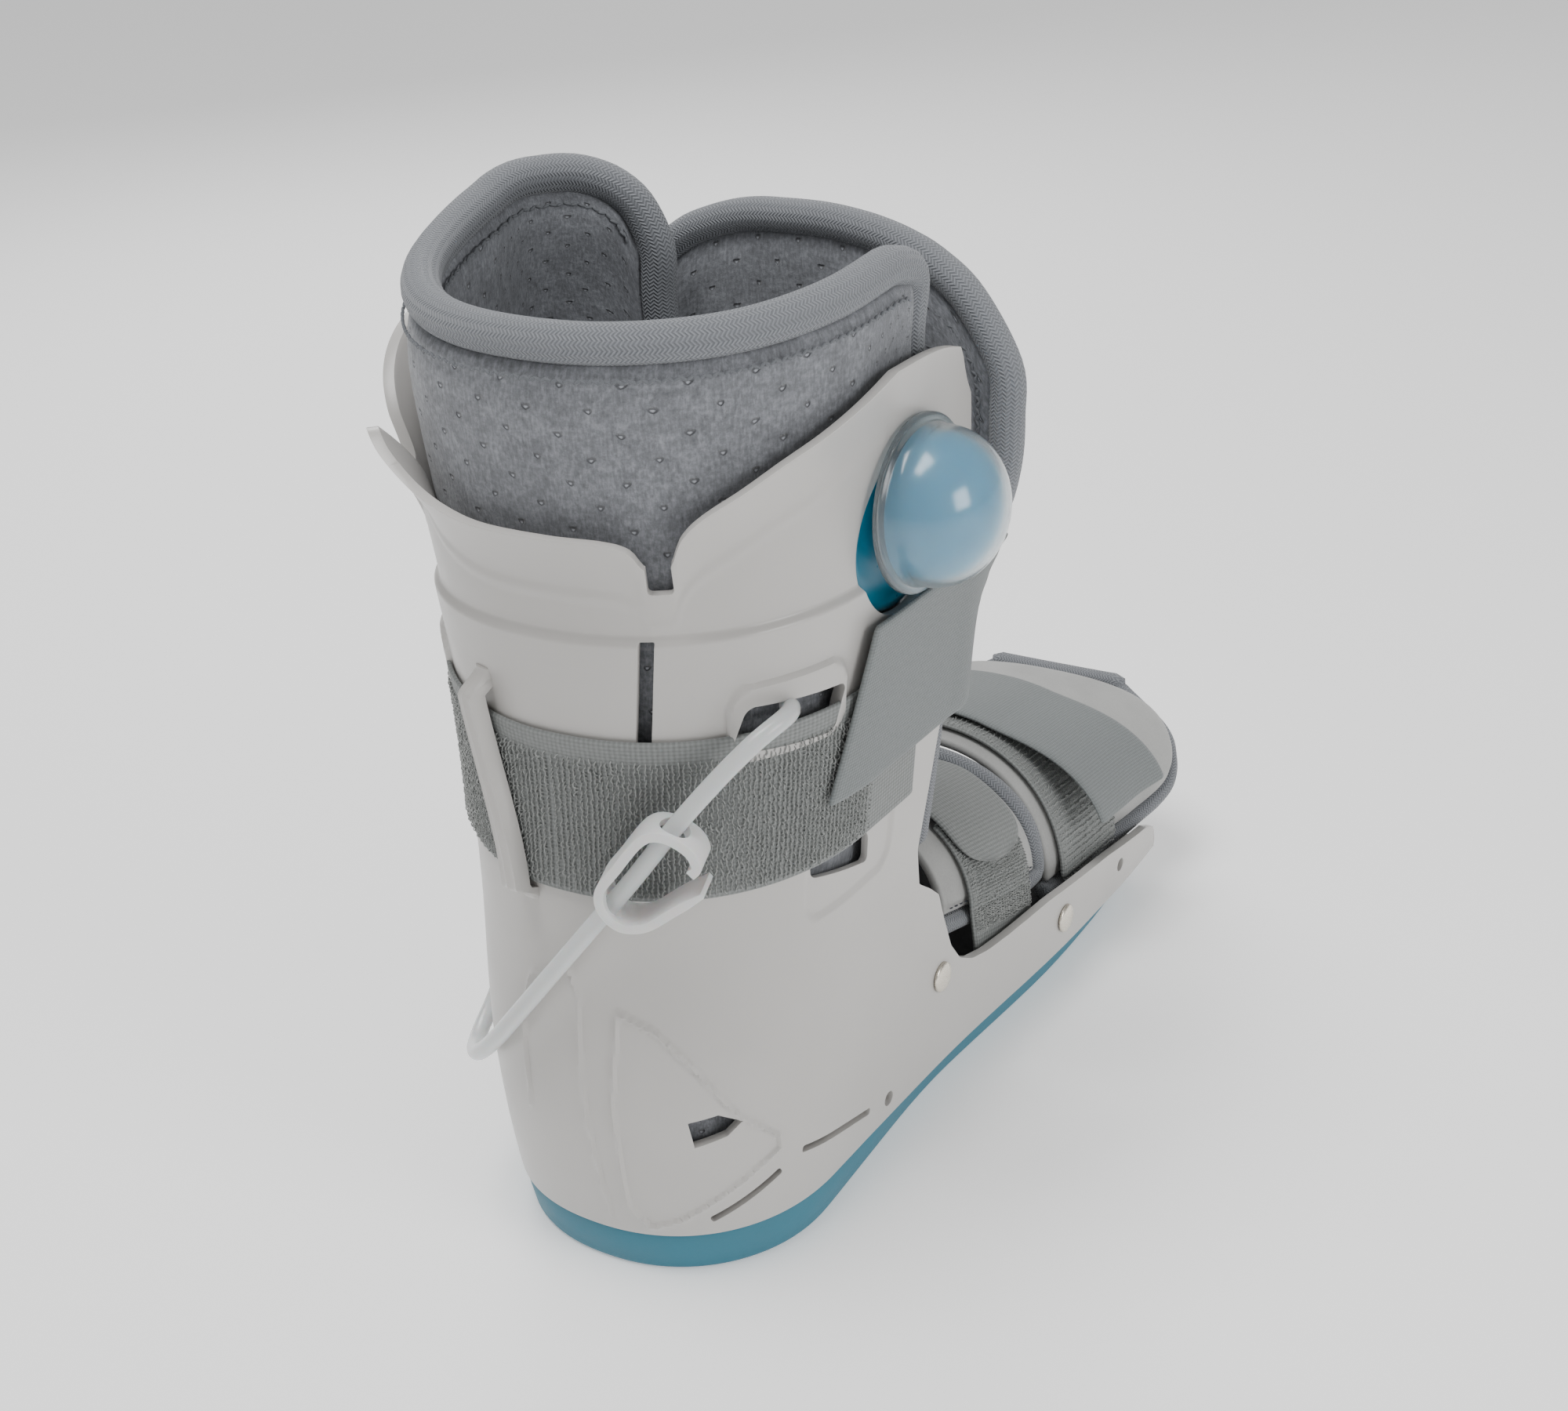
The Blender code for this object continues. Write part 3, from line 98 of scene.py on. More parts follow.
KEEPER_WIDTH, KEEPER_THICKNESS = 6.5 * MM, 4 * MM
PUMP_HEIGHT, PUMP_STATION = 212.5 * MM, 14 * MM
DOME_RADIUS, DOME_FLANGE, DOME_WALL = 21.5 * MM, 2.6 * MM, 1.4 * MM
DOME_STRAIGHT, DOME_TALL = 6 * MM, 0.86 * DOME_RADIUS
BLADDER_THICKNESS = 1.8 * MM
TUBE_RADIUS = 2.5 * MM
CLAMP_LENGTH, CLAMP_WIDTH, CLAMP_STRIP = 30 * MM, 11 * MM, 2.6 * MM
RIVET_RADIUS, RIVET_RISE = 4.8 * MM, 1.6 * MM
PAD_THICKNESS, PAD_HALF_WIDTH, PIPING_RADIUS = 6 * MM, 47.2 * MM, 3.2 * MM
CREASE_DEPTH, CREASE_REACH = 0.5 * MM, 2.2 * MM
TOE_CREASES = ((0.3, 6 * MM), (0.52, -10 * MM))
INSTEP_CREASES = ((0.8, 0.0),)
LOOP_STRAP_PLACE = (132 * MM, 172 * MM)
TOE_STRAP_PLACE = (138 * MM, 183 * MM)
TOE_STRAP_LIFT = 12 * MM
INSTEP_STRAP_PLACE = (72 * MM, 108 * MM)
STRAP_LEG_DROP, STRAP_LEG_SPREAD = 25 * MM, 1.5 * MM
TOE_PAD_START, TOE_PAD_END = 128 * MM, 226 * MM
INSTEP_PAD_START, INSTEP_PAD_END = 62 * MM, 118 * MM
GAP = 0.3 * MM

# The photograph's camera
CAMERA_PLACE = Vector((0.3572, -0.4859, 0.4332))
CAMERA_RIGHT = Vector((0.8455, 0.5299, -0.0663))
CAMERA_BACK = Vector((0.5029, -0.7483, 0.4326))
CAMERA_LENS = 54.05

# Route of the air tube's middle, the same list as in the part
TUBE_ROUTE = (
    (0.0535, -0.0320, 0.1712),
    (0.0575, -0.0350, 0.1728),
    (0.0610, -0.0405, 0.1745),
    (0.0580, -0.0500, 0.1725),
    (0.0500, -0.0590, 0.1630),
    (0.0400, -0.0670, 0.1500),
    (0.0300, -0.0715, 0.1360),
    (0.0180, -0.0745, 0.1210),
    (0.0040, -0.0765, 0.1040),
    (-0.0110, -0.0770, 0.0860),
    (-0.0270, -0.0735, 0.0680),
    (-0.0420, -0.0645, 0.0550),
    (-0.0530, -0.0500, 0.0500),
    (-0.0590, -0.0330, 0.0530),
    (-0.0625, -0.0190, 0.0650),
    (-0.0645, -0.0130, 0.0830),
    (-0.0650, -0.0110, 0.1000),
    (-0.0635, -0.0115, 0.1130),
    (-0.0555, -0.0120, 0.1190),
)
CLAMP_AT = 6

Section = namedtuple("Section", "height half_width back centre front")
Front = namedtuple("Front", "forward height")
Rim = namedtuple("Rim", "turn height flare")
Outline = namedtuple("Outline", "share width crown edge")
LinerRim = namedtuple("LinerRim", "way height")
FlapTop = namedtuple("FlapTop", "across height")
FlapEdge = namedtuple("FlapEdge", "height left right front")

SECTIONS = (
    Section(height=0.00, half_width=0.71, back=0.91, centre=-0.27, front=0.40),
    Section(height=0.06, half_width=0.76, back=0.96, centre=-0.27, front=0.42),
    Section(height=0.20, half_width=0.79, back=1.00, centre=-0.27, front=0.46),
    Section(height=0.44, half_width=0.86, back=0.92, centre=-0.11, front=0.50),
    Section(height=0.64, half_width=0.92, back=0.87, centre=-0.03, front=0.57),
    Section(height=0.79, half_width=0.98, back=0.90, centre=0.00, front=0.62),
    Section(height=0.90, half_width=1.03, back=0.93, centre=0.02, front=0.61),
    Section(height=1.02, half_width=1.06, back=0.96, centre=0.03, front=0.61),
    Section(height=1.16, half_width=1.08, back=0.98, centre=0.03, front=0.63),
)
SPREAD = (
    Front(forward=0.0, height=0.0),
    Front(forward=0.25, height=0.15),
    Front(forward=0.55, height=0.9),
    Front(forward=0.75, height=1.0),
    Front(forward=0.93, height=0.7),
    Front(forward=1.0, height=0.2),
)
RIM = (
    Rim(turn=-90, height=1.035, flare=1.5),
    Rim(turn=-78, height=1.020, flare=1.5),
    Rim(turn=-66, height=0.990, flare=1.4),
    Rim(turn=-57, height=0.950, flare=1.0),
    Rim(turn=-53, height=0.905, flare=0.5),
    Rim(turn=-50.5, height=0.893, flare=0.9),
    Rim(turn=-49, height=0.918, flare=1.4),
    Rim(turn=-46.5, height=0.947, flare=1.8),
    Rim(turn=-42, height=0.957, flare=1.9),
    Rim(turn=-35, height=0.942, flare=1.8),
    Rim(turn=-26, height=0.915, flare=1.3),
    Rim(turn=-12, height=0.897, flare=1.0),
    Rim(turn=8, height=0.893, flare=1.0),
    Rim(turn=20, height=0.890, flare=1.0),
    Rim(turn=25, height=0.880, flare=0.8),
    Rim(turn=28, height=0.858, flare=0.4),
    Rim(turn=33, height=0.858, flare=0.4),
    Rim(turn=36, height=0.890, flare=0.8),
    Rim(turn=40, height=0.910, flare=1.0),
    Rim(turn=49, height=0.932, flare=1.0),
    Rim(turn=59, height=0.953, flare=0.9),
    Rim(turn=70, height=0.970, flare=0.8),
    Rim(turn=80, height=0.985, flare=0.7),
    Rim(turn=90, height=1.000, flare=0.6),
)

# Front edge of the shell's side walls: how far forward each height reaches, up to a wing's tip
FRONT_LIMIT = (
    Front(forward=0.925, height=0.000),
    Front(forward=0.925, height=0.070),
    Front(forward=0.915, height=0.092),
    Front(forward=0.880, height=0.106),
    Front(forward=0.720, height=0.130),
    Front(forward=0.520, height=0.150),
    Front(forward=0.400, height=0.1535),
    Front(forward=0.335, height=0.158),
    Front(forward=0.290, height=0.167),
    Front(forward=0.255, height=0.184),
    Front(forward=0.228, height=0.215),
    Front(forward=0.205, height=0.265),
    Front(forward=0.188, height=0.305),
    Front(forward=0.162, height=0.325),
    Front(forward=0.130, height=0.345),
    Front(forward=0.122, height=0.395),
    Front(forward=0.150, height=0.470),
    Front(forward=0.190, height=0.580),
    Front(forward=0.222, height=0.740),
    Front(forward=0.232, height=0.860),
    Front(forward=0.224, height=0.920),
    Front(forward=0.190, height=0.970),
    Front(forward=0.150, height=1.010),
    Front(forward=0.110, height=1.050),
)
LINER_RIM = (
    LinerRim(way=-0.83, height=1.075),
    LinerRim(way=-0.80, height=1.112),
    LinerRim(way=-0.75, height=1.136),
    LinerRim(way=-0.67, height=1.147),
    LinerRim(way=-0.56, height=1.145),
    LinerRim(way=-0.40, height=1.112),
    LinerRim(way=-0.20, height=1.088),
    LinerRim(way=0.00, height=1.080),
    LinerRim(way=0.25, height=1.078),
    LinerRim(way=0.45, height=1.084),
    LinerRim(way=0.56, height=1.090),
    LinerRim(way=0.60, height=1.084),
)
FLAP_TOP = (
    FlapTop(across=0.00, height=0.90),
    FlapTop(across=0.06, height=0.95),
    FlapTop(across=0.16, height=0.985),
    FlapTop(across=0.38, height=1.005),
    FlapTop(across=0.60, height=1.003),
    FlapTop(across=0.80, height=0.985),
    FlapTop(across=0.92, height=0.950),
    FlapTop(across=1.00, height=0.885),
)
FLAP_EDGES = (
    FlapEdge(height=0.30, left=-0.50, right=0.50, front=0.60),
    FlapEdge(height=0.45, left=-0.56, right=0.60, front=0.62),
    FlapEdge(height=0.60, left=-0.62, right=0.66, front=0.69),
    FlapEdge(height=0.685, left=-0.65, right=0.77, front=0.72),
    FlapEdge(height=0.735, left=-0.66, right=0.91, front=0.725),
    FlapEdge(height=0.80, left=-0.68, right=0.99, front=0.73),
    FlapEdge(height=0.90, left=-0.66, right=1.00, front=0.735),
    FlapEdge(height=1.00, left=-0.60, right=0.90, front=0.75),
)
TOE_PAD = (
    Outline(share=0.00, width=1.00, crown=0.318, edge=0.128),
    Outline(share=0.35, width=1.00, crown=0.300, edge=0.118),
    Outline(share=0.62, width=1.08, crown=0.283, edge=0.122),
    Outline(share=0.78, width=1.20, crown=0.270, edge=0.150),
    Outline(share=0.90, width=1.08, crown=0.258, edge=0.185),
    Outline(share=0.97, width=0.84, crown=0.250, edge=0.212),
    Outline(share=1.00, width=0.60, crown=0.244, edge=0.232),
)
INSTEP_PAD = (
    Outline(share=0.00, width=0.94, crown=0.352, edge=0.215),
    Outline(share=0.50, width=0.98, crown=0.335, edge=0.190),
    Outline(share=1.00, width=1.00, crown=0.312, edge=0.168),
)


def smooth(t):
    t = min(max(t, 0.0), 1.0)
    return t * t * (3 - 2 * t)


def along(rows, key, value, at):
    """Reads one column of a table at a place between its rows, with a smooth curve through them."""
    keys = [getattr(row, key) for row in rows]
    values = [getattr(row, value) for row in rows]
    if at <= keys[0]:
        return values[0]
    if at >= keys[-1]:
        return values[-1]
    i = max(n for n in range(len(keys) - 1) if keys[n] <= at)

    def slope(n):
        a, b = max(n - 1, 0), min(n + 1, len(keys) - 1)
        turning = (values[n] - values[a]) * (values[b] - values[n]) <= 0
        return 0.0 if turning and a < n < b else (values[b] - values[a]) / (keys[b] - keys[a])

    width = keys[i + 1] - keys[i]
    t = (at - keys[i]) / width
    return (
        values[i] * (1 + 2 * t) * (1 - t) ** 2
        + slope(i) * width * t * (1 - t) ** 2
        + values[i + 1] * t * t * (3 - 2 * t)
        - slope(i + 1) * width * t * t * (1 - t)
    )


def straight(rows, key, value, at):
    keys = [getattr(row, key) for row in rows]
    values = [getattr(row, value) for row in rows]
    return float(np.interp(at, keys, values))


def spread(low, high, count):
    return [low + (high - low) * n / (count - 1) for n in range(count)]


def section(column, z):
    return along(SECTIONS, "height", column, z / SHELL_HEIGHT)


def side_half_width(y, z):
    upright = section("half_width", z) * CALF_HALF_WIDTH
    low = 1 - smooth((z / SHELL_HEIGHT - 0.12) / 0.3)
    return upright + low * BALL_SPREAD * along(SPREAD, "forward", "height", y / TOE_REACH)


def wall_point(turn, forward, z, outset=0.0):
    """A point of the shell's outer face: `turn` degrees round the back, or a share along a side."""
    centre = section("centre", z) * HEEL_REACH
    depth = section("back", z) * HEEL_REACH + centre
    if forward > 0:
        y = centre + forward * (WALL_END - centre)
        x = side_half_width(y, z) + outset
        return Vector((x if turn > 0 else -x, y, z))
    power = 2 / SECTION_POWER
    across = abs(sin(radians(turn))) ** power
    behind = abs(cos(radians(turn))) ** power
    half = side_half_width(centre, z) + outset
    x = half * across
    return Vector((x if turn > 0 else -x, centre - (depth + outset) * behind, z))


def outward(turn, z):
    here, there = wall_point(turn - 1, 0, z), wall_point(turn + 1, 0, z)
    tangent = (there - here).normalized()
    return Vector((tangent.y, -tangent.x, 0))


def rim_height(turn):
    return SHELL_HEIGHT * along(RIM, "turn", "height", turn)


def lip(turn, z):
    """How far the wall stands out of its plain section: the flared lip, less the step above the band."""
    below = rim_height(turn) - z
    flare = LIP_FLARE * along(RIM, "turn", "flare", turn) * max(0.0, 1 - below / LIP_DEPTH) ** 1.6
    return flare - BAND_STEP * smooth((z - BAND_TOP) / (2.5 * MM) + 0.5)


def even_curve(points, step=None, count=None):
    """Points at an even pace along the smooth curve through the given ones."""
    points = [Vector(p) for p in points]
    ends = [2 * points[0] - points[1]] + points + [2 * points[-1] - points[-2]]
    dense = []
    for a, b, c, d in zip(ends, ends[1:], ends[2:], ends[3:]):
        for n in range(12):
            t = n / 12
            square = (2 * a - 5 * b + 4 * c - d) * t**2
            cube = (3 * b - a - 3 * c + d) * t**3
            dense.append(0.5 * (2 * b + (c - a) * t + square + cube))
    dense.append(points[-1])
    length = sum((q - p).length for p, q in zip(dense, dense[1:]))
    count = count or max(2, round(length / step))
    made, walked, goal = [dense[0]], 0.0, length / count
    for p, q in zip(dense, dense[1:]):
        leg = (q - p).length
        while leg and walked + leg >= goal and len(made) < count:
            made.append(p.lerp(q, (goal - walked) / leg))
            goal += length / count
        walked += leg
    return made + [dense[-1]]


def beside(path, through, away):
    """An edge's path moved off the edge, across its run and the way through its thickness."""
    moved = []
    for n, (point, direction) in enumerate(zip(path, through)):
        run = path[min(n + 1, len(path) - 1)] - path[max(n - 1, 0)]
        moved.append(point + run.cross(direction).normalized() * away)
    return moved


def linked(name, data):
    """A new object in the scene."""
    made = bpy.data.objects.new(name, data)
    bpy.context.scene.collection.objects.link(made)
    return made


# Camera and the air tube come first


def make_camera():
    data = bpy.data.cameras.new("camera")
    data.lens = CAMERA_LENS
    data.sensor_width = 36
    camera = linked("camera", data)
    up = CAMERA_BACK.cross(CAMERA_RIGHT).normalized()
    turn = Matrix((CAMERA_RIGHT.normalized(), up, CAMERA_BACK.normalized())).transposed()
    camera.matrix_world = Matrix.Translation(CAMERA_PLACE) @ turn.to_4x4()
    bpy.context.scene.camera = camera


def make_air_tube(finish):
    points = even_curve(TUBE_ROUTE, 4.2 * TUBE_RADIUS)
    data = bpy.data.curves.new("air_tube_skin", "CURVE")
    data.dimensions = "3D"
    data.bevel_depth = TUBE_RADIUS
    data.bevel_resolution = 6
    data.use_fill_caps = True
    data.resolution_u = 6
    spline = data.splines.new("NURBS")
    spline.points.add(len(points) - 1)
    for place, point in zip(spline.points, points):
        place.co = (*point, 1.0)
    spline.use_endpoint_u = True
    spline.order_u = 4
    tube = linked("air_tube_skin", data)
    data.materials.append(finish)
    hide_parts("air_tube")
    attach(tube, BODY)
    return tube, points


# Meshes


def add_piece(name, verts, faces, finish, uv=None, replaces=(), sharp=None):
    """A finished piece on the body: verts and faces, with an optional UV place for each vertex."""
    data = bpy.data.meshes.new(name)
    data.from_pydata([tuple(v) for v in verts], [], faces)
    if uv is not None:
        layer = data.uv_layers.new(name="UVMap")
        index = np.empty(len(data.loops), dtype=np.int32)
        data.loops.foreach_get("vertex_index", index)
        layer.data.foreach_set("uv", np.asarray(uv, dtype=np.float32)[index].ravel())
    made = linked(name, data)
    outwards(made)
    return dress(made, finish, replaces, sharp)


def outwards(made):
    mesh = bmesh.new()
    mesh.from_mesh(made.data)
    bmesh.ops.recalc_face_normals(mesh, faces=mesh.faces)
    if mesh.calc_volume(signed=True) < 0:
        bmesh.ops.reverse_faces(mesh, faces=mesh.faces)
    mesh.to_mesh(made.data)
    mesh.free()


def dress(made, finish, replaces=(), sharp=None):
    """Gives a piece its material, smooth shading, body and the nodes that it stands for."""
    if finish:
        made.data.materials.clear()
        made.data.materials.append(finish)
    made.data.shade_smooth()
    if sharp:
        made.data.set_sharp_from_angle(angle=radians(sharp))
    if replaces:
        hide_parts(*replaces)
    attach(made, BODY)
    return made


def grid_faces(rows, columns, start=0):
    corners = [start + i * columns + j for i in range(rows - 1) for j in range(columns - 1)]
    return [(a, a + columns, a + columns + 1, a + 1) for a in corners]


def ring_faces(rings, sides):
    """Faces between neighbouring rings that all have the same count of vertices."""
    faces = []
    for n in range(rings - 1):
        for k in range(sides):
            m = (k + 1) % sides
            faces.append((n * sides + k, n * sides + m, (n + 1) * sides + m, (n + 1) * sides + k))
    return faces


def wall_mesh(outer, inner):
    """Vertices and faces of one closed body between two equal grids of points."""
    rows, columns = len(outer), len(outer[0])
    count = rows * columns
    verts = [p for row in outer for p in row] + [p for row in inner for p in row]
    faces = grid_faces(rows, columns)
    faces += [tuple(reversed(face)) for face in grid_faces(rows, columns, count)]
    rim = [(i, 0) for i in range(rows - 1)]
    rim += [(rows - 1, j) for j in range(columns - 1)]
    rim += [(i, columns - 1) for i in range(rows - 1, 0, -1)]
    rim += [(0, j) for j in range(columns - 1, 0, -1)]
    for (a, b), (c, d) in zip(rim, rim[1:] + rim[:1]):
        p, q = a * columns + b, c * columns + d
        faces.append((q, p, count + p, count + q))
    return verts, faces


def flat_places(grid):
    """A UV place in metres for each point of a grid, by its arc length along rows and columns."""
    rows, columns = len(grid), len(grid[0])
    middle = rows // 2
    run = [0.0]
    for a, b in zip(grid[middle], grid[middle][1:]) if columns > 1 else ():
        run.append(run[-1] + (b - a).length)
    rise = [0.0]
    for a, b in zip(grid, grid[1:]):
        rise.append(rise[-1] + (b[columns // 2] - a[columns // 2]).length)
    return [(rise[i], run[j]) for i in range(rows) for j in range(columns)]


def panel(name, outer, inner, finish, replaces):
    """A soft flat body between two grids, rounded by subdivision."""
    verts, faces = wall_mesh(outer, inner)
    places = flat_places(outer)
    made = add_piece(name, verts, faces, finish, places + places, replaces)
    step = made.modifiers.new("round", "SUBSURF")
    step.levels = step.render_levels = 1
    return made


def round_path(name, points, radius, finish, replaces, sides=20):
    """A round cord-like body along a path, with round ends and a UV place in metres."""
    runs = [points[min(n + 1, len(points) - 1)] - points[max(n - 1, 0)] for n in range(len(points))]
    across = runs[0].orthogonal().normalized()
    verts, places, walked = [], [], 0.0
    rounding = spread(0.25, 1.35, 5)
    rings = []

    def cap(way, turns):
        for t in turns:
            middle = point + run * (way * radius * sin(t))
            rings.append((middle, radius * cos(t), across, side, walked + way * radius * t))

    for n, (point, run) in enumerate(zip(points, runs)):
        run = run.normalized()
        across = (across - run * across.dot(run)).normalized()
        side = run.cross(across)
        if n:
            walked += (point - points[n - 1]).length
        if n == 0:
            cap(-1, reversed(rounding))
        rings.append((point, radius, across, side, walked))
        if n == len(points) - 1:
            cap(1, rounding)
    for centre, size, a, b, u in rings:
        for k in range(sides + 1):
            t = 2 * pi * k / sides
            if k < sides:
                verts.append(centre + (a * cos(t) + b * sin(t)) * size)
            places.append((u, radius * t))
    faces, loops = ring_faces(len(rings), sides), []
    seam = sides + 1
    for n in range(len(rings) - 1):
        for k in range(sides):
            loops += [n * seam + k, n * seam + k + 1, (n + 1) * seam + k + 1, (n + 1) * seam + k]
    for ring in (0, len(rings) - 1):
        faces.append(tuple(ring * sides + k for k in range(sides)))
        loops += [ring * seam + k for k in range(sides)]
    data = bpy.data.meshes.new(name)
    data.from_pydata([tuple(v) for v in verts], [], faces)
    layer = data.uv_layers.new(name="UVMap")
    layer.data.foreach_set("uv", np.asarray(places, dtype=np.float32)[loops].ravel())
    made = linked(name, data)
    outwards(made)
    return dress(made, finish, replaces)


def turned(name, profile, centre, finish, replaces, steps=72, hollow=False, seat=None):
    """A body turned about the +X line through its centre, from (reach, radius) pairs."""
    centre = Vector(centre)
    verts, rings = [], []
    for reach, radius in profile:
        count = 1 if radius == 0 else steps
        rings.append(list(range(len(verts), len(verts) + count)))
        for n in range(count):
            t = 2 * pi * n / steps
            point = centre + Vector((reach, radius * cos(t), radius * sin(t)))
            if seat:
                point.x += seat(point.y, point.z) - centre.x
            verts.append(point)
    faces = []
    for a, b in zip(rings, rings[1:] + rings[:1] if hollow else rings[1:]):
        for n in range(steps):
            m = (n + 1) % steps
            face = [a[n % len(a)], a[m % len(a)], b[m % len(b)], b[n % len(b)]]
            unique = [v for i, v in enumerate(face) if v not in face[:i]]
            if len(unique) > 2:
                faces.append(unique)
    if not hollow:
        faces += [ring for ring in (rings[0], rings[-1]) if len(ring) > 2]
    return add_piece(name, verts, faces, finish, None, replaces)


# Materials


class Finish:
    """One procedural material: a Principled shader and short ways to add nodes before it."""

    def __init__(self, name, **sockets):
        self.material = bpy.data.materials.new(name)
        self.material.use_nodes = True
        self.tree = self.material.node_tree
        self.shader = self.tree.nodes["Principled BSDF"]
        for socket, value in sockets.items():
            self.shader.inputs[socket.replace("_", " ")].default_value = value
        self.bumps = None

    def node(self, kind, **settings):
        made = self.tree.nodes.new(kind)
        for key, value in settings.items():
            if hasattr(made, key):
                setattr(made, key, value)
        return made

    def link(self, source, target):
        self.tree.links.new(source, target)

    def place(self, uv=True):
        node = self.node("ShaderNodeTexCoord")
        return node.outputs["UV" if uv else "Object"]

    def grain(self, vector, scale, detail=3.0, rough=0.55, stretch=(1, 1, 1)):
        """Noise from 0 to 1 about `scale` cells to the metre."""
        mapping = self.node("ShaderNodeMapping")
        mapping.inputs["Scale"].default_value = stretch
        self.link(vector, mapping.inputs["Vector"])
        made = self.node("ShaderNodeTexNoise")
        made.inputs["Scale"].default_value = scale
        made.inputs["Detail"].default_value = detail
        made.inputs["Roughness"].default_value = rough
        self.link(mapping.outputs["Vector"], made.inputs["Vector"])
        return made.outputs["Fac"]

    def math(self, kind, a, b=None):
        made = self.node("ShaderNodeMath", operation=kind)
        for socket, value in zip(made.inputs, (a, b)):
            if value is None:
                continue
            if isinstance(value, (int, float)):
                socket.default_value = value
            else:
                self.link(value, socket)
        return made.outputs[0]

    def split(self, vector):
        made = self.node("ShaderNodeSeparateXYZ")
        self.link(vector, made.inputs[0])
        return made.outputs

    def ramp(self, value, stops):
        """A colour ramp from (place, grey or colour) pairs."""
        made = self.node("ShaderNodeValToRGB")
        self.link(value, made.inputs["Fac"])
        band = made.color_ramp
        while len(band.elements) < len(stops):
            band.elements.new(0.5)
        for element, (place, colour) in zip(band.elements, stops):
            element.position = place
            channels = colour if isinstance(colour, tuple) else (colour, colour, colour)
            element.color = (*channels, 1.0)
        return made.outputs["Color"]

    def mix(self, amount, a, b):
        made = self.node("ShaderNodeMix", data_type="RGBA")
        for socket, value in ((made.inputs[0], amount), (made.inputs[6], a), (made.inputs[7], b)):
            if isinstance(value, tuple):
                socket.default_value = (*value, 1.0)
            else:
                self.link(value, socket)
        return made.outputs[2]

    def colour(self, output):
        self.link(output, self.shader.inputs["Base Color"])

    def roughness(self, output):
        self.link(output, self.shader.inputs["Roughness"])

    def bump(self, height, strength, distance):
        """Adds one layer of relief on top of those before it."""
        made = self.node("ShaderNodeBump")
        made.inputs["Strength"].default_value = strength
        made.inputs["Distance"].default_value = distance
        self.link(height, made.inputs["Height"])
        if self.bumps:
            self.link(self.bumps, made.inputs["Normal"])
        self.bumps = made.outputs["Normal"]
        self.link(self.bumps, self.shader.inputs["Normal"])


def tinted(colour, share):
    return tuple(min(1.0, channel * share) for channel in colour)


def moulded_plastic(name, colour, roughness):
    """Satin moulded plastic: faint flow marks, fine grain and slightly uneven gloss."""
    made = Finish(name, Roughness=roughness)
    place = made.place(uv=False)
    cloudy = made.grain(place, 18, 4)
    fine = made.grain(place, 1400, 2)
    made.colour(made.mix(cloudy, tinted(colour, 0.94), tinted(colour, 1.06)))
    gloss = [(0.3, roughness - 0.04), (0.7, roughness + 0.05)]
    made.roughness(made.ramp(made.grain(place, 60, 3), gloss))
    made.bump(fine, 0.12, 0.00006)
    return made.material


def foam_fabric(name, colour):
    """Brushed foam fabric: blotchy nap, upright knit grain and rows of small tear-shaped holes with
    painted shade in them.
    """
    made = Finish(name, Roughness=0.95, Sheen_Weight=0.25, Sheen_Roughness=0.5)
    place = made.place()
    across, up, _ = made.split(place)
    nap = made.grain(place, 620, 5, 0.75)
    blotch = made.grain(place, 130, 4, 0.6)
    knit = made.grain(place, 900, 3, 0.6, stretch=(1.6, 0.35, 1))
    shade = made.math("ADD", made.math("MULTIPLY", nap, 0.5), made.math("MULTIPLY", blotch, 0.3))
    shade = made.math("ADD", shade, made.math("MULTIPLY", knit, 0.35))
    body = made.ramp(shade, [(0.4, tinted(colour, 0.55)), (0.56, colour), (0.72, tinted(colour, 1.7))])
    height = made.math("ADD", made.math("MULTIPLY", knit, 0.6), made.math("MULTIPLY", nap, 0.7))
    stray = made.math("MULTIPLY", made.math("SUBTRACT", made.grain(place, 90, 1), 0.5), 4.5 * MM)
    hole_and_painted_shade, spot = hole_pattern(made, made.math("ADD", across, stray), up)
    # Painted shade: the holes' mask darkens the fabric's colour inside each hole.
    body = made.mix(hole_and_painted_shade, body, tinted(colour, 0.6))
    body = made.mix(spot, body, tinted(colour, 2.0))
    made.bump(made.math("SUBTRACT", 1.0, hole_and_painted_shade), 0.9, 0.0008)
    made.colour(body)
    made.bump(height, 0.55, 0.0006)
    return made.material


HOLE_PITCH, HOLE_ROW, HOLE_SIZE = 13.5 * MM, 6.4 * MM, 1.15 * MM


def hole_pattern(made, across, up):
    """Masks of small holes in staggered rows: each hole, dented and darkened with painted shade that
    shows at its rim, and its pale middle.
    """
    row = made.math("DIVIDE", up, HOLE_ROW)
    step = made.math("MULTIPLY", made.math("MODULO", made.math("FLOOR", row), 2.0), 0.5)
    column = made.math("ADD", made.math("DIVIDE", across, HOLE_PITCH), step)
    x = made.math("SUBTRACT", made.math("FRACT", column), 0.5)
    x = made.math("MULTIPLY", x, HOLE_PITCH / HOLE_SIZE)
    y = made.math("SUBTRACT", made.math("FRACT", row), 0.5)
    y = made.math("MULTIPLY", y, HOLE_ROW / HOLE_SIZE * 1.25)
    y = made.math("SUBTRACT", y, made.math("MULTIPLY", made.math("ABSOLUTE", x), 0.45))
    squares = made.math("ADD", made.math("MULTIPLY", x, x), made.math("MULTIPLY", y, y))
    away = made.math("SQRT", squares)
    # Mask of each hole, used for its dent and for the painted shade in it.
    hole_and_painted_shade = made.ramp(away, [(0.55, 1.0), (0.95, 0.0)])
    spot = made.ramp(made.math("ADD", away, made.math("MULTIPLY", y, 0.25)), [(0.18, 1.0), (0.42, 0.0)])
    return hole_and_painted_shade, spot


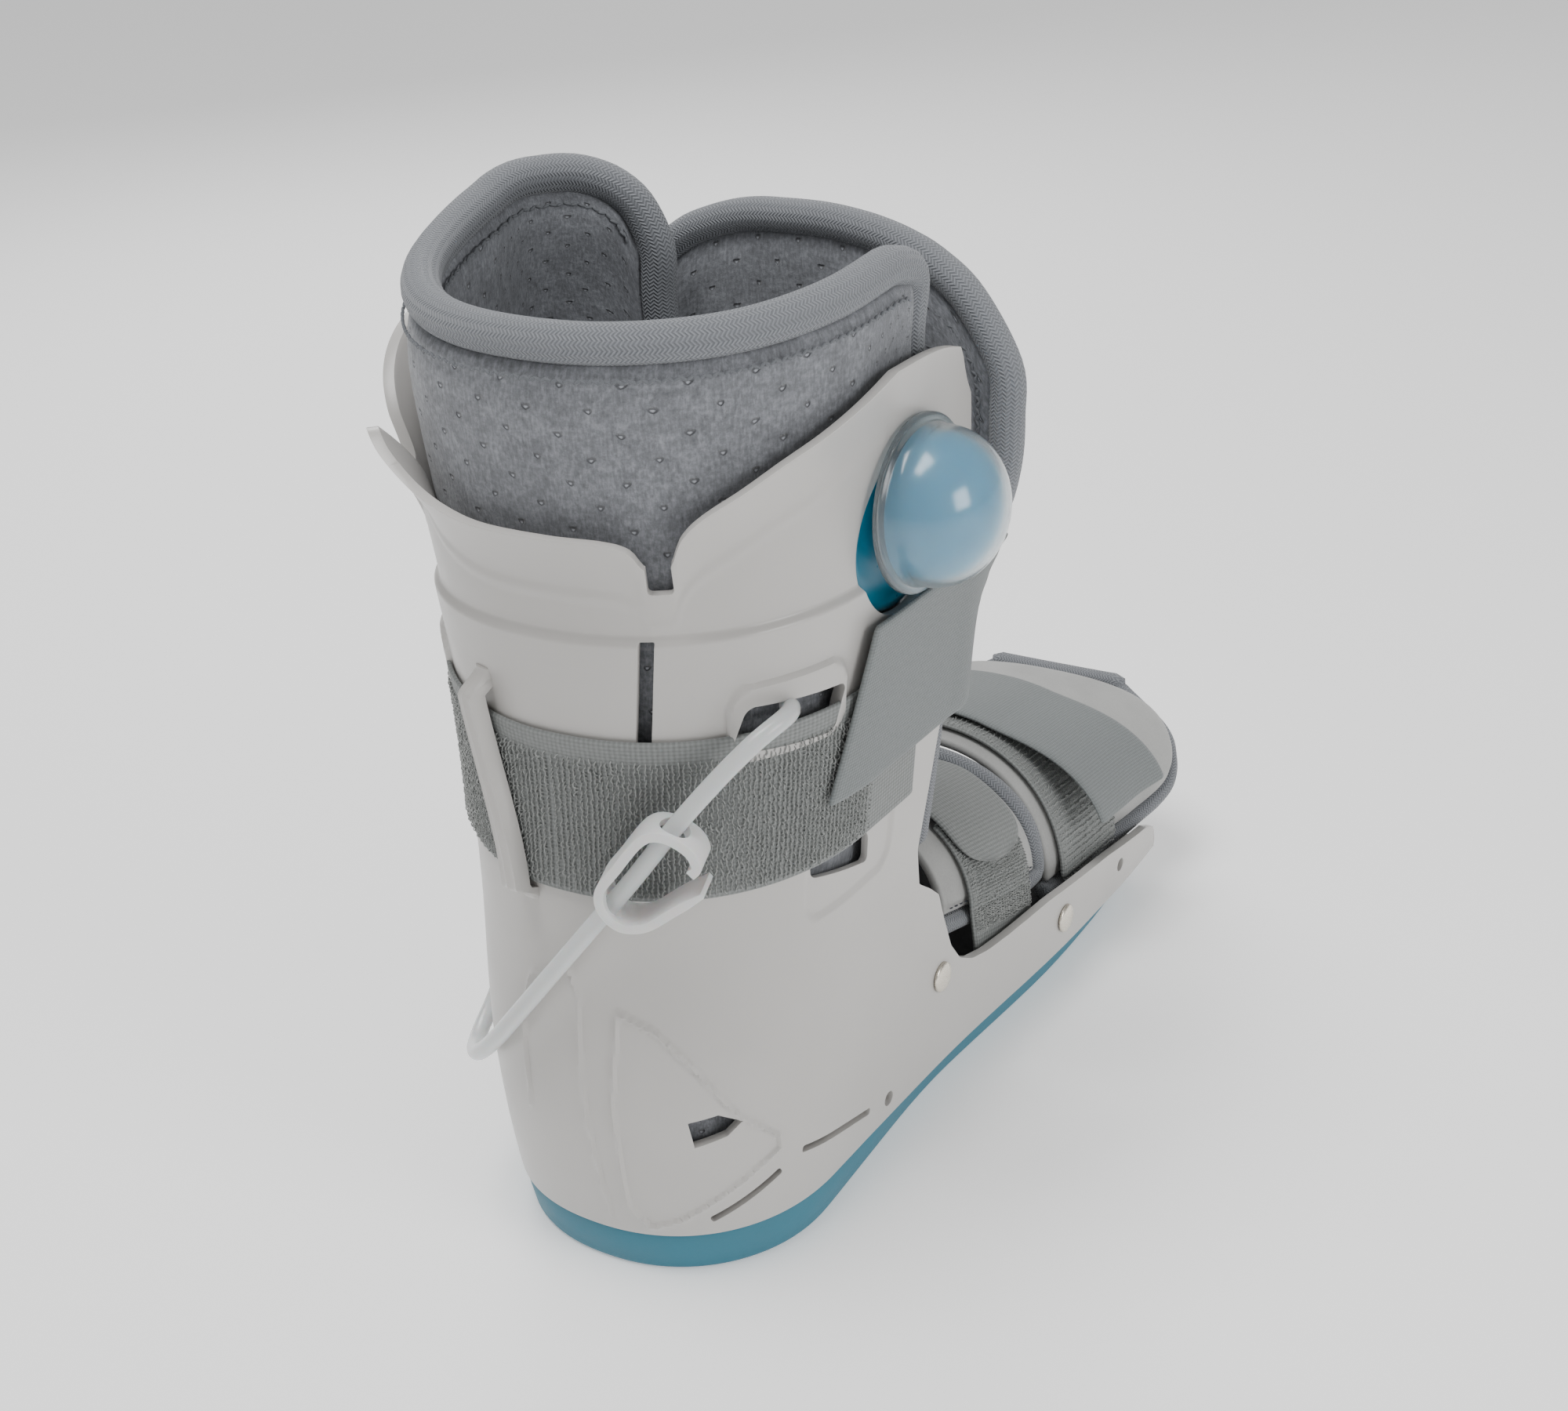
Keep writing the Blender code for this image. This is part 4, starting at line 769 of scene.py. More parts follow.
def zigzag_knit(name, colour, pitch=1.1 * MM, swing=2.4 * MM):
    """Binding knit: small ribs in a zigzag along the binding."""
    made = Finish(name, Roughness=0.82, Sheen_Weight=0.2)
    run, round_, _ = made.split(made.place())
    lean = made.math("FRACT", made.math("DIVIDE", round_, swing))
    lean = made.math("ABSOLUTE", made.math("SUBTRACT", lean, 0.5))
    phase = made.math("ADD", made.math("DIVIDE", run, pitch), made.math("MULTIPLY", lean, 1.8))
    rib = made.math("SINE", made.math("MULTIPLY", phase, 2 * pi))
    rib = made.math("ADD", made.math("MULTIPLY", rib, 0.5), 0.5)
    valley = made.math("MULTIPLY", made.math("SUBTRACT", 0.5, lean), 2.0)
    yarn = made.grain(made.place(), 1500, 3)
    shade = made.math("ADD", made.math("MULTIPLY", rib, 0.6), made.math("MULTIPLY", yarn, 0.4))
    stops = [(0.15, tinted(colour, 0.72)), (0.5, colour), (0.9, tinted(colour, 1.3))]
    made.colour(made.ramp(shade, stops))
    made.bump(made.math("ADD", rib, made.math("MULTIPLY", valley, 0.3)), 0.7, 0.0005)
    made.bump(yarn, 0.25, 0.0002)
    return made.material


def strap_knit(name, colour, pitch=0.85 * MM, ridge=0.5):
    """Smooth strap: fine cross ribs and a faint lengthwise knit."""
    made = Finish(name, Roughness=0.75, Sheen_Weight=0.15)
    place = made.place()
    up, run, _ = made.split(place)
    cross = made.math("SINE", made.math("MULTIPLY", run, 2 * pi / pitch))
    length = made.math("SINE", made.math("MULTIPLY", up, 2 * pi / (pitch * 1.25)))
    weave = made.math("MULTIPLY", made.math("ADD", cross, length), 0.25)
    weave = made.math("ADD", weave, 0.5)
    yarn = made.grain(place, 900, 4)
    shade = made.math("ADD", made.math("MULTIPLY", weave, 0.5), made.math("MULTIPLY", yarn, 0.5))
    stops = [(0.25, tinted(colour, 0.8)), (0.5, colour), (0.8, tinted(colour, 1.25))]
    made.colour(made.ramp(shade, stops))
    made.bump(weave, ridge, 0.0003)
    made.bump(yarn, 0.2, 0.0002)
    return made.material


def smooth_laminate(name, colour):
    """Smooth foam face: matt, with a very fine pile and soft clouding."""
    made = Finish(name, Roughness=0.7, Sheen_Weight=0.2)
    place = made.place(uv=False)
    pile = made.grain(place, 1600, 3)
    cloudy = made.grain(place, 45, 4)
    shade = made.math("ADD", made.math("MULTIPLY", pile, 0.4), made.math("MULTIPLY", cloudy, 0.6))
    stops = [(0.3, tinted(colour, 0.86)), (0.5, colour), (0.7, tinted(colour, 1.12))]
    made.colour(made.ramp(shade, stops))
    made.bump(pile, 0.3, 0.00025)
    return made.material


def rubber(name, colour):
    made = Finish(name, Roughness=0.55)
    place = made.place(uv=False)
    cloudy = made.grain(place, 40, 4)
    fine = made.grain(place, 1100, 3)
    made.colour(made.mix(cloudy, tinted(colour, 0.85), tinted(colour, 1.15)))
    made.roughness(made.ramp(cloudy, [(0.3, 0.48), (0.7, 0.62)]))
    made.bump(fine, 0.3, 0.0002)
    return made.material


def clear_plastic(name, colour, roughness, transmission, subsurface=0.0, cloud=0.05):
    """Frosted or milky plastic: light passes, softly scattered by a fine grain."""
    made = Finish(name, Roughness=roughness, Transmission_Weight=transmission, IOR=1.46)
    made.shader.inputs["Subsurface Weight"].default_value = subsurface
    made.shader.inputs["Subsurface Scale"].default_value = 0.003
    place = made.place(uv=False)
    cloudy = made.grain(place, 55, 4)
    made.colour(made.mix(cloudy, tinted(colour, 1 - cloud), tinted(colour, 1 + cloud)))
    gloss = [(0.3, roughness * 0.85), (0.7, roughness * 1.2)]
    made.roughness(made.ramp(made.grain(place, 90, 3), gloss))
    made.bump(made.grain(place, 700, 2), 0.03, 0.00005)
    return made.material


def pale_metal(name, colour):
    made = Finish(name, Metallic=1.0, Roughness=0.28)
    place = made.place(uv=False)
    scuffs = made.grain(place, 900, 4, 0.6, stretch=(1, 1, 4))
    made.colour(made.mix(scuffs, tinted(colour, 0.88), tinted(colour, 1.08)))
    made.roughness(made.ramp(scuffs, [(0.3, 0.2), (0.7, 0.36)]))
    made.bump(scuffs, 0.15, 0.0001)
    return made.material


def floor_finish():
    made = Finish("studio_floor", Roughness=0.9)
    made.shader.inputs["Base Color"].default_value = (0.92, 0.92, 0.92, 1.0)
    made.shader.inputs["Emission Color"].default_value = (1.0, 1.0, 1.0, 1.0)
    made.shader.inputs["Emission Strength"].default_value = 0.35
    return made.material


# Shell


COLUMNS_BACK, COLUMNS_SIDE = 210, 60
WALL_LOW = SOLE_HEIGHT + GAP


def front_share(z):
    """How far forward the side walls reach at a height, as wall_point's share."""
    reach = straight(FRONT_LIMIT, "height", "forward", z / SHELL_HEIGHT) * TOE_REACH
    centre = section("centre", z) * HEEL_REACH
    return (reach - centre) / (WALL_END - centre)


def wing_top(turn, share):
    """Top edge of the wall: the rim round the back, rounded off towards the wings' front corners."""
    return rim_height(turn) - 4 * MM * share**4


def shell_heights(turn, share):
    """Heights of one column: close together at the foot wall's top edge, the band's step and the rim."""
    low = spread(WALL_LOW, 36 * MM, 20) + spread(36.5 * MM, 46 * MM, 22)
    middle = spread(47 * MM, BAND_TOP - 3 * MM, 128)
    step = spread(BAND_TOP - 2.2 * MM, BAND_TOP + 2.2 * MM, 9)
    return low + middle + step + spread(BAND_TOP + 4 * MM, wing_top(turn, share), 40)


def make_shell(finish):
    columns = [(-90.0, n / COLUMNS_SIDE) for n in range(COLUMNS_SIDE, 0, -1)]
    columns += [(turn, 0.0) for turn in spread(-90.0, 90.0, COLUMNS_BACK + 1)]
    columns += [(90.0, n / COLUMNS_SIDE) for n in range(1, COLUMNS_SIDE + 1)]
    outer, inner = [], []
    for turn, share in columns:
        over, under = [], []
        for z in shell_heights(turn, share):
            forward = share * front_share(z)
            stand = lip(turn, z)
            p = wall_point(turn, forward, z, stand)
            over.append(wall_point(turn, forward, z, stand + relief(p)))
            under.append(wall_point(turn, forward, z, stand - SHELL_WALL))
        outer.append(over)
        inner.append(under)
    verts, faces = wall_mesh(outer, inner)
    shell = add_piece("shell_wall", verts, faces, finish, None, ("shell",))
    cut(shell, shell_cutters())
    round_edges(shell, 0.85 * MM, 50, 38)


def round_edges(made, width, angle, sharp):
    """Rounds a piece's edges over an angle and shades it smooth up to a sharper one."""
    step = made.modifiers.new("edges", "BEVEL")
    step.width = width
    step.segments = 2
    step.limit_method = "ANGLE"
    step.angle_limit = radians(angle)
    step.use_clamp_overlap = True
    settle(made)
    made.data.shade_smooth()
    made.data.set_sharp_from_angle(angle=radians(sharp))


def unrolled(p):
    """A place on the wall as (degrees round the back, height), the sides as if the turn went on."""
    centre = section("centre", p.z) * HEEL_REACH
    if p.y > centre:
        past = degrees((p.y - centre) / (HEEL_REACH * 0.85))
        return (90 + past if p.x > 0 else -90 - past), p.z
    half = side_half_width(centre, p.z)
    depth = section("back", p.z) * HEEL_REACH + centre
    a = (min(1.0, abs(p.x) / half)) ** (SECTION_POWER / 2)
    b = (min(1.0, (centre - p.y) / depth)) ** (SECTION_POWER / 2)
    turn = degrees(atan2(a, b))
    return (turn if p.x > 0 else -turn), p.z


Ridge = namedtuple("Ridge", "points height width closed")

# Raised lines of the moulding, each through places given as degrees round the back and height in mm
ARCH_LINE = ((15, 88), (26, 83), (38, 71), (52, 54), (66, 42), (66, 38), (50, 30), (30, 20), (20, 17))
RIDGES = (
    Ridge((*ARCH_LINE, (14, 24), (13, 60)), 1.1, 0.8, True),
    Ridge(((-16, 50), (-15, 82), (-11, 93), (0, 99), (3, 92), (4, 60), (7, 20)), 0.9, 0.8, False),
    Ridge(((-15, 190), (-15, 172)), 0.35, 0.5, False),
)


def line_distance(point, path):
    """Shortest distance in mm from a place on the unrolled wall to a chain of places."""
    scale = degrees(1 / (HEEL_REACH * 0.9)) * MM
    x, y = point[0] / scale, point[1] / MM
    best = 1e9
    for (a, b), (c, d) in zip(path, path[1:]):
        ax, cx = a / scale, c / scale
        dx, dy = cx - ax, d - b
        t = ((x - ax) * dx + (y - b) * dy) / (dx * dx + dy * dy)
        t = min(max(t, 0.0), 1.0)
        best = min(best, ((x - ax - t * dx) ** 2 + (y - b - t * dy) ** 2) ** 0.5)
    return best


def slot_frame(place, middle, length, height, raise_, border):
    """Relief of a rounded frame round a slot on the unrolled wall."""
    across = radians(place[0] - middle[0]) * HEEL_REACH * 0.92
    up = place[1] - middle[1]
    x = max(abs(across) - length / 2 + 3 * MM, 0.0)
    y = max(abs(up) - height / 2 + 3 * MM, 0.0)
    away = (x * x + y * y) ** 0.5 - 3 * MM
    return raise_ * (1 - smooth((away - border + 0.8 * MM) / (1.6 * MM)))


def relief(p):
    """How far the moulding's raised lines and slot frames stand out of the wall at a point."""
    place = unrolled(p)
    total = 0.0
    if -70 < place[0] < 70:
        for ridge in RIDGES:
            path = ridge.points + ridge.points[:1] if ridge.closed else ridge.points
            total += ridge.height * MM * (1 - smooth(line_distance(place, path) / ridge.width - 0.2))
    mirrored = (abs(place[0]), place[1])
    upper = (UPPER_SLOT_TURN, STRAP_MIDDLE + STRAP_WIDTH / 2 + 2 * MM)
    total += slot_frame(mirrored, upper, UPPER_SLOT_LENGTH, UPPER_SLOT_HEIGHT, 1.7 * MM, 4.5 * MM)
    lower = (LOWER_SLOT_TURN + 4, STRAP_MIDDLE - STRAP_WIDTH / 2 - LOWER_SLOT_DROP - 3 * MM)
    length, height = LOWER_SLOT_LENGTH + 8 * MM, LOWER_SLOT_HEIGHT + 4 * MM
    total -= slot_frame(mirrored, lower, length, height, 0.9 * MM, 4 * MM)
    crease = abs(rim_height(place[0]) - place[1] - LIP_DEPTH) if abs(place[0]) < 90 else 1.0
    return total + 0.35 * MM * (1 - smooth(crease / (3 * MM)))


def outline_plug(outline, centre, out, depth, up=(0, 0, 1)):
    """Vertices and faces of an outline carried both ways along `out`."""
    out = Vector(out).normalized()
    up = (Vector(up) - out * Vector(up).dot(out)).normalized()
    side = up.cross(out)
    centre = Vector(centre)
    verts = [centre + side * a + up * b + out * c for c in (-depth, depth) for a, b in outline]
    count = len(outline)
    faces = [tuple(range(count))[::-1], tuple(range(count, 2 * count))]
    faces += [(n, (n + 1) % count, count + (n + 1) % count, count + n) for n in range(count)]
    return verts, faces


def rounded(length, height, radius, lean=0.0):
    corners = []
    for a, b, start in ((1, 1, 0), (-1, 1, 90), (-1, -1, 180), (1, -1, 270)):
        for step in range(7):
            turn = radians(start + 15 * step)
            x = a * (length / 2 - radius) + radius * cos(turn)
            y = b * (height / 2 - radius) + radius * sin(turn)
            corners.append((x + lean * y / height, y))
    return corners


def disc(radius, count):
    turns = [2 * pi * n / count for n in range(count)]
    return [(radius * cos(turn), radius * sin(turn)) for turn in turns]


def shell_cutters():
    """Outlines of the notch, slit, slots, vents, holes and the pump's opening."""
    deep, shallow = 12 * MM, 6 * MM
    rise = SHELL_HEIGHT - NOTCH_FLOOR + 20 * MM
    at = wall_point(NOTCH_TURN, 0, NOTCH_FLOOR + rise / 2)
    shape = rounded(NOTCH_WIDTH, rise, 1.2 * MM)
    cutters = [outline_plug(shape, at, outward(NOTCH_TURN, NOTCH_FLOOR), deep)]
    z = BAND_TOP - SLIT_LENGTH / 2
    shape = rounded(SLIT_WIDTH, SLIT_LENGTH, 0.6 * MM, lean=SLIT_LENGTH * SLIT_LEAN)
    cutters.append(outline_plug(shape, wall_point(SLIT_TURN, 0, z), outward(SLIT_TURN, z), deep))
    for side in (1, -1):
        turn, z = UPPER_SLOT_TURN * side, STRAP_MIDDLE + STRAP_WIDTH / 2
        shape = rounded(UPPER_SLOT_LENGTH, UPPER_SLOT_HEIGHT, 2.5 * MM, lean=4 * MM * side)
        cutters.append(outline_plug(shape, wall_point(turn, 0, z), outward(turn, z), deep, (0, 0.08, 1)))
        turn, z = LOWER_SLOT_TURN * side, STRAP_MIDDLE - STRAP_WIDTH / 2 - LOWER_SLOT_DROP
        shape = rounded(LOWER_SLOT_LENGTH, LOWER_SLOT_HEIGHT, 2 * MM, lean=-2 * MM * side)
        cutters.append(outline_plug(shape, wall_point(turn, 0, z), (side, 0, 0), deep, (0, 0.28, 1)))
        out = outward(REAR_SEAM_TURN * side, REAR_SEAM_HEIGHT)
        run = Vector((-out.y, out.x, 0)) * side
        at = wall_point(REAR_SEAM_TURN * side, 0, REAR_SEAM_HEIGHT)
        shape = rounded(SEAM_VENT_LENGTH, SEAM_VENT_HEIGHT, 0.8 * MM)
        cutters.append(outline_plug(shape, at, out, shallow, Vector((0, 0, 1)) - run * REAR_SEAM_SLOPE))
        y, z = SIDE_SEAM_STATION, SIDE_SEAM_HEIGHT
        at = (side * side_half_width(y, z), y, z)
        shape = rounded(1.5 * SEAM_VENT_LENGTH, SEAM_VENT_HEIGHT, 0.8 * MM)
        cutters.append(outline_plug(shape, at, (side, 0, 0), shallow, (0, SIDE_SEAM_SLOPE, 1)))
        for y, z in (SCREW_HOLE, DRAIN_HOLE):
            at = (side * side_half_width(y, z), y, z)
            cutters.append(outline_plug(disc(HOLE_RADIUS, 24), at, (side, 0, 0), shallow))
    shape = [(VENT_SIZE * a, VENT_SIZE * b) for a, b in VENT_OUTLINE]
    at = wall_point(VENT_TURN, 0, VENT_HEIGHT)
    cutters.append(outline_plug(shape, at, outward(VENT_TURN, VENT_HEIGHT), deep))
    y, z = PUMP_STATION, PUMP_HEIGHT - PUMP_OPENING_DROP
    at = (side_half_width(y, z), y, z)
    cutters.append(outline_plug(disc(PUMP_OPENING_RADIUS, 72), at, (1, 0, 0), 18 * MM))
    return cutters


def cut(target, cutters):
    """Cuts all outlines out of the piece at once and removes the cutting mesh."""
    verts, faces = [], []
    for points, sides in cutters:
        faces += [tuple(len(verts) + v for v in side) for side in sides]
        verts += points
    data = bpy.data.meshes.new("cutting")
    data.from_pydata([tuple(v) for v in verts], [], faces)
    tool = linked("cutting", data)
    outwards(tool)
    step = target.modifiers.new("openings", "BOOLEAN")
    step.operation = "DIFFERENCE"
    step.object = tool
    step.solver = "EXACT"
    settle(target)
    bpy.data.objects.remove(tool, do_unlink=True)
    bpy.data.meshes.remove(data)


def settle(made):
    """Makes a piece's live modifiers part of its mesh."""
    bpy.context.view_layer.update()
    result = bpy.data.meshes.new_from_object(made.evaluated_get(bpy.context.evaluated_depsgraph_get()))
    made.modifiers.clear()
    old = made.data
    made.data = result
    bpy.data.meshes.remove(old)


def foot_outline(z, inset):
    """A closed outline of the foot at one height: round heel, straight sides and round toe."""
    back_count, side_count, toe_count = 24, 24, 20
    toe_start = TOE_REACH * 0.80
    right = [wall_point(turn, 0, z, -inset) for turn in spread(0, 90, back_count + 1)]
    heel_centre = right[-1].y
    for n in range(1, side_count + 1):
        y = heel_centre + (toe_start - heel_centre) * n / side_count
        right.append(Vector((side_half_width(y, z) - inset, y, z)))
    half = right[-1].x
    for n in range(1, toe_count + 1):
        turn = pi / 2 * n / toe_count
        x = half * cos(turn) ** 0.8 if n < toe_count else 0.0
        right.append(Vector((x, toe_start + (TOE_REACH - inset - toe_start) * sin(turn), z)))
    return right + [Vector((-p.x, p.y, p.z)) for p in reversed(right[1:-1])]


def ladder_faces(start, count):
    """Faces across a ring of verts that starts at the heel and is the same left and right."""
    faces = [(start, start + 1, start + count - 1)]
    for n in range(1, count // 2 - 1):
        faces.append((start + n, start + n + 1, start + count - n - 1, start + count - n))
    half = count // 2
    return faces + [(start + half - 1, start + half, start + half + 1)]


def stacked(name, rings, finish, replaces, sharp=40):
    """One closed body through rings of the same count, its ends filled with level strips."""
    count = len(rings[0])
    verts = [p for ring in rings for p in ring]
    faces = ladder_faces(0, count) + ladder_faces(count * (len(rings) - 1), count)
    faces += ring_faces(len(rings), count)
    return add_piece(name, verts, faces, finish, None, replaces, sharp)


def make_foot_plate(finish):
    low, high = SOLE_HEIGHT + 2 * GAP, SOLE_HEIGHT + 2 * GAP + PLATE_THICKNESS
    rings = []
    for z, inset in ((low, 1.9), (low + 0.6 * MM, 1.5), (high - 0.6 * MM, 1.5), (high, 1.9)):
        rings.append(foot_outline(z, inset * MM))
    stacked("foot_plate", rings, finish, ("shell",))


def make_keeper_bar(finish):
    """Moulded bar over the ankle strap, slanted, with ridges along it and a foot at each end."""
    clear = STRAP_THICKNESS + 3 * GAP
    half = STRAP_WIDTH / 2
    low, high = STRAP_MIDDLE - half - 5.5 * MM, STRAP_MIDDLE + half + 13 * MM
    rows = 60
    outer, inner = [], []
    for n in range(rows):
        share = n / (rows - 1)
        z = low + (high - low) * share
        turn = -9.5 - 8.5 * smooth((share - 0.02) / 0.9)
        foot = smooth(share / 0.09) * smooth((1 - share) / 0.11)
        bridged = smooth((share - 0.045) / 0.03) * smooth((0.93 - share) / 0.03)
        under = -1 * MM + (clear + 1 * MM) * bridged
        over = 0.4 * MM + (clear + KEEPER_THICKNESS - 0.4 * MM) * foot
        width = degrees(KEEPER_WIDTH * 0.6 / HEEL_REACH)
        near, far = [], []
        for k in range(9):
            a = -1 + k / 4
            crown = 0.45 * MM * cos(a * pi / 2) + 0.35 * MM * cos(a * 2.5 * pi) * foot
            far.append(wall_point(turn + a * width, 0, z, over + crown - 0.9 * MM * abs(a) ** 6))
            near.append(wall_point(turn + a * width, 0, z, under))
        outer.append(far)
        inner.append(near)
    verts, faces = wall_mesh(outer, inner)
    add_piece("keeper_bar", verts, faces, finish, None, ("shell",), 50)


def make_outsole(finish):
    """Rubber sole, flat from heel to ball and lifted at the toe, with a small round at its edges."""
    rings = []
    for share, pull in ((0.0, 1.2), (0.05, 0.35), (0.12, 0.0), (0.5, 0.0), (0.93, 0.0), (1.0, 0.6)):
        ring = []
        for p in foot_outline(SOLE_HEIGHT, SOLE_INSET + pull * MM):
            tuck = smooth((p.y / HEEL_REACH + 0.6) / 1.4)
            past_ball = max(0.0, (p.y - BALL_STATION) / (TOE_REACH - BALL_STATION))
            narrow = SOLE_WAIST_INSET * tuck + SOLE_DRAFT * (1 - share) ** 1.2
            behind = SOLE_DRAFT * (1 - share) * smooth(-p.y / HEEL_REACH)
            ahead = SOLE_DRAFT * (1 - share) * smooth(past_ball) + SOLE_WAIST_INSET * smooth(past_ball)
            x = p.x * (1 - narrow / side_half_width(p.y, SOLE_HEIGHT))
            z = SOLE_HEIGHT * share + TOE_SPRING * past_ball**1.7 * (1 - share)
            ring.append(Vector((x, p.y + behind - ahead, z)))
        rings.append(ring)
    stacked("outsole_rubber", rings, finish, ("outsole",), 50)


# Liner and flap


def liner_point(way, z, inset):
    clearance = SHELL_WALL + 2 * GAP + BAND_STEP + inset
    lean = Vector((LINER_LEAN * smooth((z / SHELL_HEIGHT - 1.0) / 0.16), 0, 0))
    turn = way * 180
    if abs(turn) <= 90:
        return wall_point(turn, 0, z, -clearance) + lean
    centre = section("centre", z) * HEEL_REACH
    half = side_half_width(centre, z) - clearance
    if turn > 0:
        share = (way - 0.5) / (LINER_END - 0.5)
        return Vector((half, centre + share * (LINER_RIGHT_END - centre), z)) + lean
    reach = section("front", z) * HEEL_REACH - inset - centre
    angle = radians(-turn - 90)
    power = 2 / SECTION_POWER
    return Vector((-half * cos(angle) ** power, centre + reach * sin(angle) ** power, z)) + lean


LINER_LOW = SOLE_HEIGHT + PLATE_THICKNESS + 5 * GAP


def liner_top(way):
    return SHELL_HEIGHT * along(LINER_RIM, "way", "height", way)


def liner_bottom(way):
    open_front = smooth((abs(way) - 0.48) / 0.12)
    return LINER_LOW + open_front * SHELL_HEIGHT * 0.42


def soft_dent(point, size, depth):
    """A slow uneven push in or out, as stuffed cloth has."""
    return depth * noise.noise(Vector(point) / size)


def make_liner(finish):
    outer, inner = [], []
    for way in spread(LINER_START - 0.008, LINER_END + 0.008, 120):
        low, top = liner_bottom(way), liner_top(way) - 0.75 * BINDING_RADIUS
        over, under = [], []
        for share in spread(0, 1, 40):
            z = low + (top - low) * share
            p = liner_point(way, z, 0.0)
            pinch = 1.6 * MM * smooth((share - 0.955) / 0.045)
            over.append(liner_point(way, z, 0.2 * MM + pinch + max(0, soft_dent(p, 0.03, 0.6 * MM))))
            under.append(liner_point(way, z, LINER_THICKNESS - pinch + soft_dent(p, 0.022, 0.9 * MM)))
        outer.append(over)
        inner.append(under)
    made = panel("liner_padding", outer, inner, finish, ("liner",))


def liner_binding_path():
    middle = LINER_THICKNESS / 2 + 3 * GAP
    lower = BINDING_RADIUS + GAP
    turned_down = spread(0.74, 1.0, 7)
    places = [(LINER_START, (liner_top(LINER_START) - lower) * share) for share in turned_down]
    places += [(way, liner_top(way) - lower) for way in spread(LINER_START, LINER_END, 46)[1:-1]]
    places += [(LINER_END, (liner_top(LINER_END) - lower) * share) for share in reversed(turned_down)]
    edge = [liner_point(way, z, middle) for way, z in places]
    through = [liner_point(way, z, 0) - liner_point(way, z, LINER_THICKNESS) for way, z in places]
    return beside(edge, through, -BINDING_RADIUS - 1 * GAP)


def make_liner_binding(finish):
    points = even_curve(liner_binding_path(), 2.5 * MM)
    round_path("liner_edge_binding", points, BINDING_RADIUS, finish, ("liner_binding",))


def flap_point(across, z, outset):
    share = z / FLAP_HEIGHT
    left = along(FLAP_EDGES, "height", "left", share) * FLAP_HALF_WIDTH
    right = along(FLAP_EDGES, "height", "right", share) * FLAP_HALF_WIDTH
    x = left + (right - left) * across
    bend = FLAP_LEFT_BEND if x < 0 else FLAP_RIGHT_BEND
    front = along(FLAP_EDGES, "height", "front", share) * HEEL_REACH
    slope = 2 * bend * x / FLAP_HALF_WIDTH**2
    out = Vector((slope, 1, 0)).normalized()
    return Vector((x, front - bend * (x / FLAP_HALF_WIDTH) ** 2, z)) + out * outset


def flap_top(across):
    return FLAP_HEIGHT * along(FLAP_TOP, "across", "height", across)


def make_front_flap(finish):
    inner, outer = [], []
    for across in spread(-0.018, 1.018, 50):
        near, far = [], []
        for share in spread(0, 1, 50):
            z = FLAP_FOOT + (flap_top(across) + 2.5 * MM - FLAP_FOOT) * share
            edge = max(min(across, 1 - across), 0.0) * 1.6
            pinch = 1.5 * MM * (1 - smooth(edge / 0.08) * smooth((1 - share) / 0.05))
            p = flap_point(across, z, 0.0)
            near.append(flap_point(across, z, pinch + soft_dent(p, 0.025, 0.8 * MM)))
            far.append(flap_point(across, z, FLAP_THICKNESS - pinch - soft_dent(p, 0.03, 0.6 * MM)))
        inner.append(near)
        outer.append(far)
    made = panel("shin_flap", outer, inner, finish, ("front_flap",))


def make_flap_binding(finish):
    places = [(0.0, z) for z in spread(FLAP_FOOT, flap_top(0.0), 13)]
    places += [(across, flap_top(across)) for across in spread(0, 1, 15)[1:-1]]
    places += [(1.0, z) for z in spread(flap_top(1.0), FLAP_FOOT, 13)]
    edge = [flap_point(across, z, FLAP_THICKNESS / 2) for across, z in places]
    points = beside(edge, [Vector((0, 1, 0))] * len(edge), FLAP_BINDING_RADIUS + 1 * GAP)
    points = even_curve(points, 2.5 * MM)
    radius = FLAP_BINDING_RADIUS
    round_path("flap_edge_binding", points, radius, finish, ("flap_binding",))


# Foot pads and straps over them


def pad_point(table, start, end, across, y, lift):
    past = max(abs(across) - 1, 0.0)
    across = min(max(across, -1), 1)
    share = (y - start) / (end - start)
    half = along(table, "share", "width", share) * PAD_HALF_WIDTH
    crown = along(table, "share", "crown", share) * SHELL_HEIGHT
    edge = along(table, "share", "edge", share) * SHELL_HEIGHT
    angle = across * pi / 2
    x = half * abs(sin(angle)) ** 0.9 * (1 if across > 0 else -1)
    z = edge + (crown - edge) * max(cos(angle), 0.0) ** 0.9
    out = Vector((sin(angle), 0, max(cos(angle), 0.0)))
    return Vector((x, y, z - past * STRAP_LEG_DROP)) + out * (lift + past * STRAP_LEG_SPREAD)


def toe_point(across, y, lift):
    return pad_point(TOE_PAD, TOE_PAD_START, TOE_PAD_END, across, y, lift)


def instep_point(across, y, lift):
    return pad_point(INSTEP_PAD, INSTEP_PAD_START, INSTEP_PAD_END, across, y, lift)


